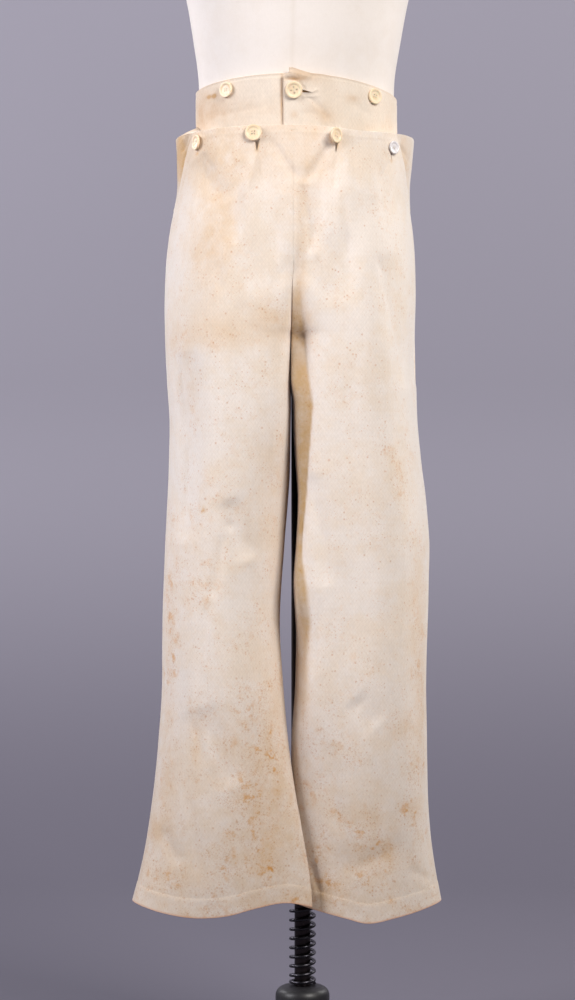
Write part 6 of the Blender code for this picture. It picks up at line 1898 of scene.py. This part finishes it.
length = add_node(stitch_tree, "ShaderNodeVectorMath", {0: direction}, out=1, operation="LENGTH")
shortest, longest = (maths(stitch_tree, kind, 1.0, given["Unevenness"])
                     for kind in ("SUBTRACT", "ADD"))
chance = add_node(stitch_tree, "FunctionNodeRandomValue", {
    2: shortest, 3: longest, "Seed": given["Seed"]}, out=1, data_type="FLOAT")
size = add_node(stitch_tree, "ShaderNodeCombineXYZ", {
    0: maths(stitch_tree, "MULTIPLY", length, chance), 1: given["Thickness"],
    2: given["Thickness"]})
sewn = add_node(stitch_tree, "GeometryNodeInstanceOnPoints", {
    "Points": given["Geometry"], "Scale": size,
    "Instance": add_node(stitch_tree, "GeometryNodeMeshUVSphere", {
        "Segments": 8, "Rings": 6, "Radius": 0.5}),
    "Rotation": add_node(stitch_tree, "FunctionNodeAlignRotationToVector", {
        "Vector": direction}, axis="X")})
sewn = add_node(stitch_tree, "GeometryNodeRealizeInstances", {0: sewn})
sewn = add_node(stitch_tree, "GeometryNodeSetShadeSmooth", {0: sewn})
sewn = add_node(stitch_tree, "GeometryNodeSetMaterial", {0: sewn, "Material": given["Material"]})
stitch_tree.links.new(sewn, result)

# Linen thread: cream, a little shinier than the cloth and darker where it is dirty.
thread, tree, shader = new_material("linen_thread", Roughness=0.7, Sheen_Weight=0.2)
cloud = cloudy(tree, own_place(tree), 300.0, 2.0)
plug(tree, shader, Base_Color=tinted(tree, cloud, "#D9C7AE", "#F2E6D3"))

stitches = []               # middle and direction, whose size is the stitch's length


def sew_line(points, normals, pitch, length, across=0.0):
    """Stitches along a line of the cloth. With "across" they slant over it by this angle."""
    along = distances(points)
    count = max(int(along[-1] / pitch), 1)
    for distance in (np.arange(count) + 0.5) * along[-1] / count:
        behind, place, ahead = at_distances(points, distance + HALF_STEP * np.arange(-1, 2))
        up = Vector([np.interp(distance, along, normals[:, i]) for i in range(3)]).normalized()
        direction = Matrix.Rotation(across, 3, up) @ Vector(ahead - behind).normalized()
        stitches.append((Vector(place) + up * STITCH_LIFT, direction * length))


panel_z = panel_heights()
hem_row = int(np.argmin(np.abs(panel_z - HEM_Z - HEM_DEPTH)))
facing_row = int(np.argmin(np.abs(panel_z - HIP_TOP_Z + FACING_WIDTH)))
slit_row = int(np.argmin(np.abs(panel_z - SLIT_END_Z)))
edge_rows = slice(slit_row + 1, facing_row)
tack_columns = slice(SIDE_COLUMNS - 2, SIDE_COLUMNS + 3)
edge_column = SIDE_COLUMNS + 6      # along the fall's side edge
facing_columns = slice(SIDE_COLUMNS + 8, None)
centre_columns = slice(-8, None)
CROSSWISE = math.pi / 2
# Row and column of the line in each front, then pitch, length and slant of the stitches
FRONT_LINES = (
    (hem_row, slice(None), STITCH_PITCH, STITCH_LENGTH, 0.0),
    (facing_row, facing_columns, *FALL_STITCH, 0.0),
    (edge_rows, edge_column, *FALL_STITCH, 0.0),
    (CENTRE_TACK_ROW, centre_columns, TACK_PITCH, STITCH_LENGTH, CROSSWISE),
    (slit_row, tack_columns, *SLIT_TACK, CROSSWISE),
)
for side in ("right", "left"):
    points, normals = fronts[side]
    for row, column, pitch, length, slant in FRONT_LINES:
        sew_line(points[row, column], normals[row, column], pitch, length, slant)
    points, normals = backs[side]
    sew_line(points[hem_row], normals[hem_row], STITCH_PITCH, STITCH_LENGTH)
    points, normals = bands[side]
    for row in BAND_STITCH_ROWS:
        sew_line(points[row], normals[row], *BAND_STITCH)
for first, second in thread_places:
    stitches.append(((first + second) / 2, (second - first) * THREAD_REACH))

stitch_points = bpy.data.meshes.new("stitch_points")
stitch_points.from_pydata([tuple(place) for place, _ in stitches], [], [])
directions = stitch_points.attributes.new("thread_direction", "FLOAT_VECTOR", "POINT")
directions.data.foreach_set("vector", np.array([tuple(d) for _, d in stitches],
                                               dtype=np.float32).ravel())
sewing = grown("hand_sewing", stitch_points, stitch_tree, stitch_inputs, {
    "Thickness": STITCH_THICKNESS, "Unevenness": STITCH_UNEVENNESS,
    "Seed": STITCH_SEED}, thread)
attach(sewing, "form")
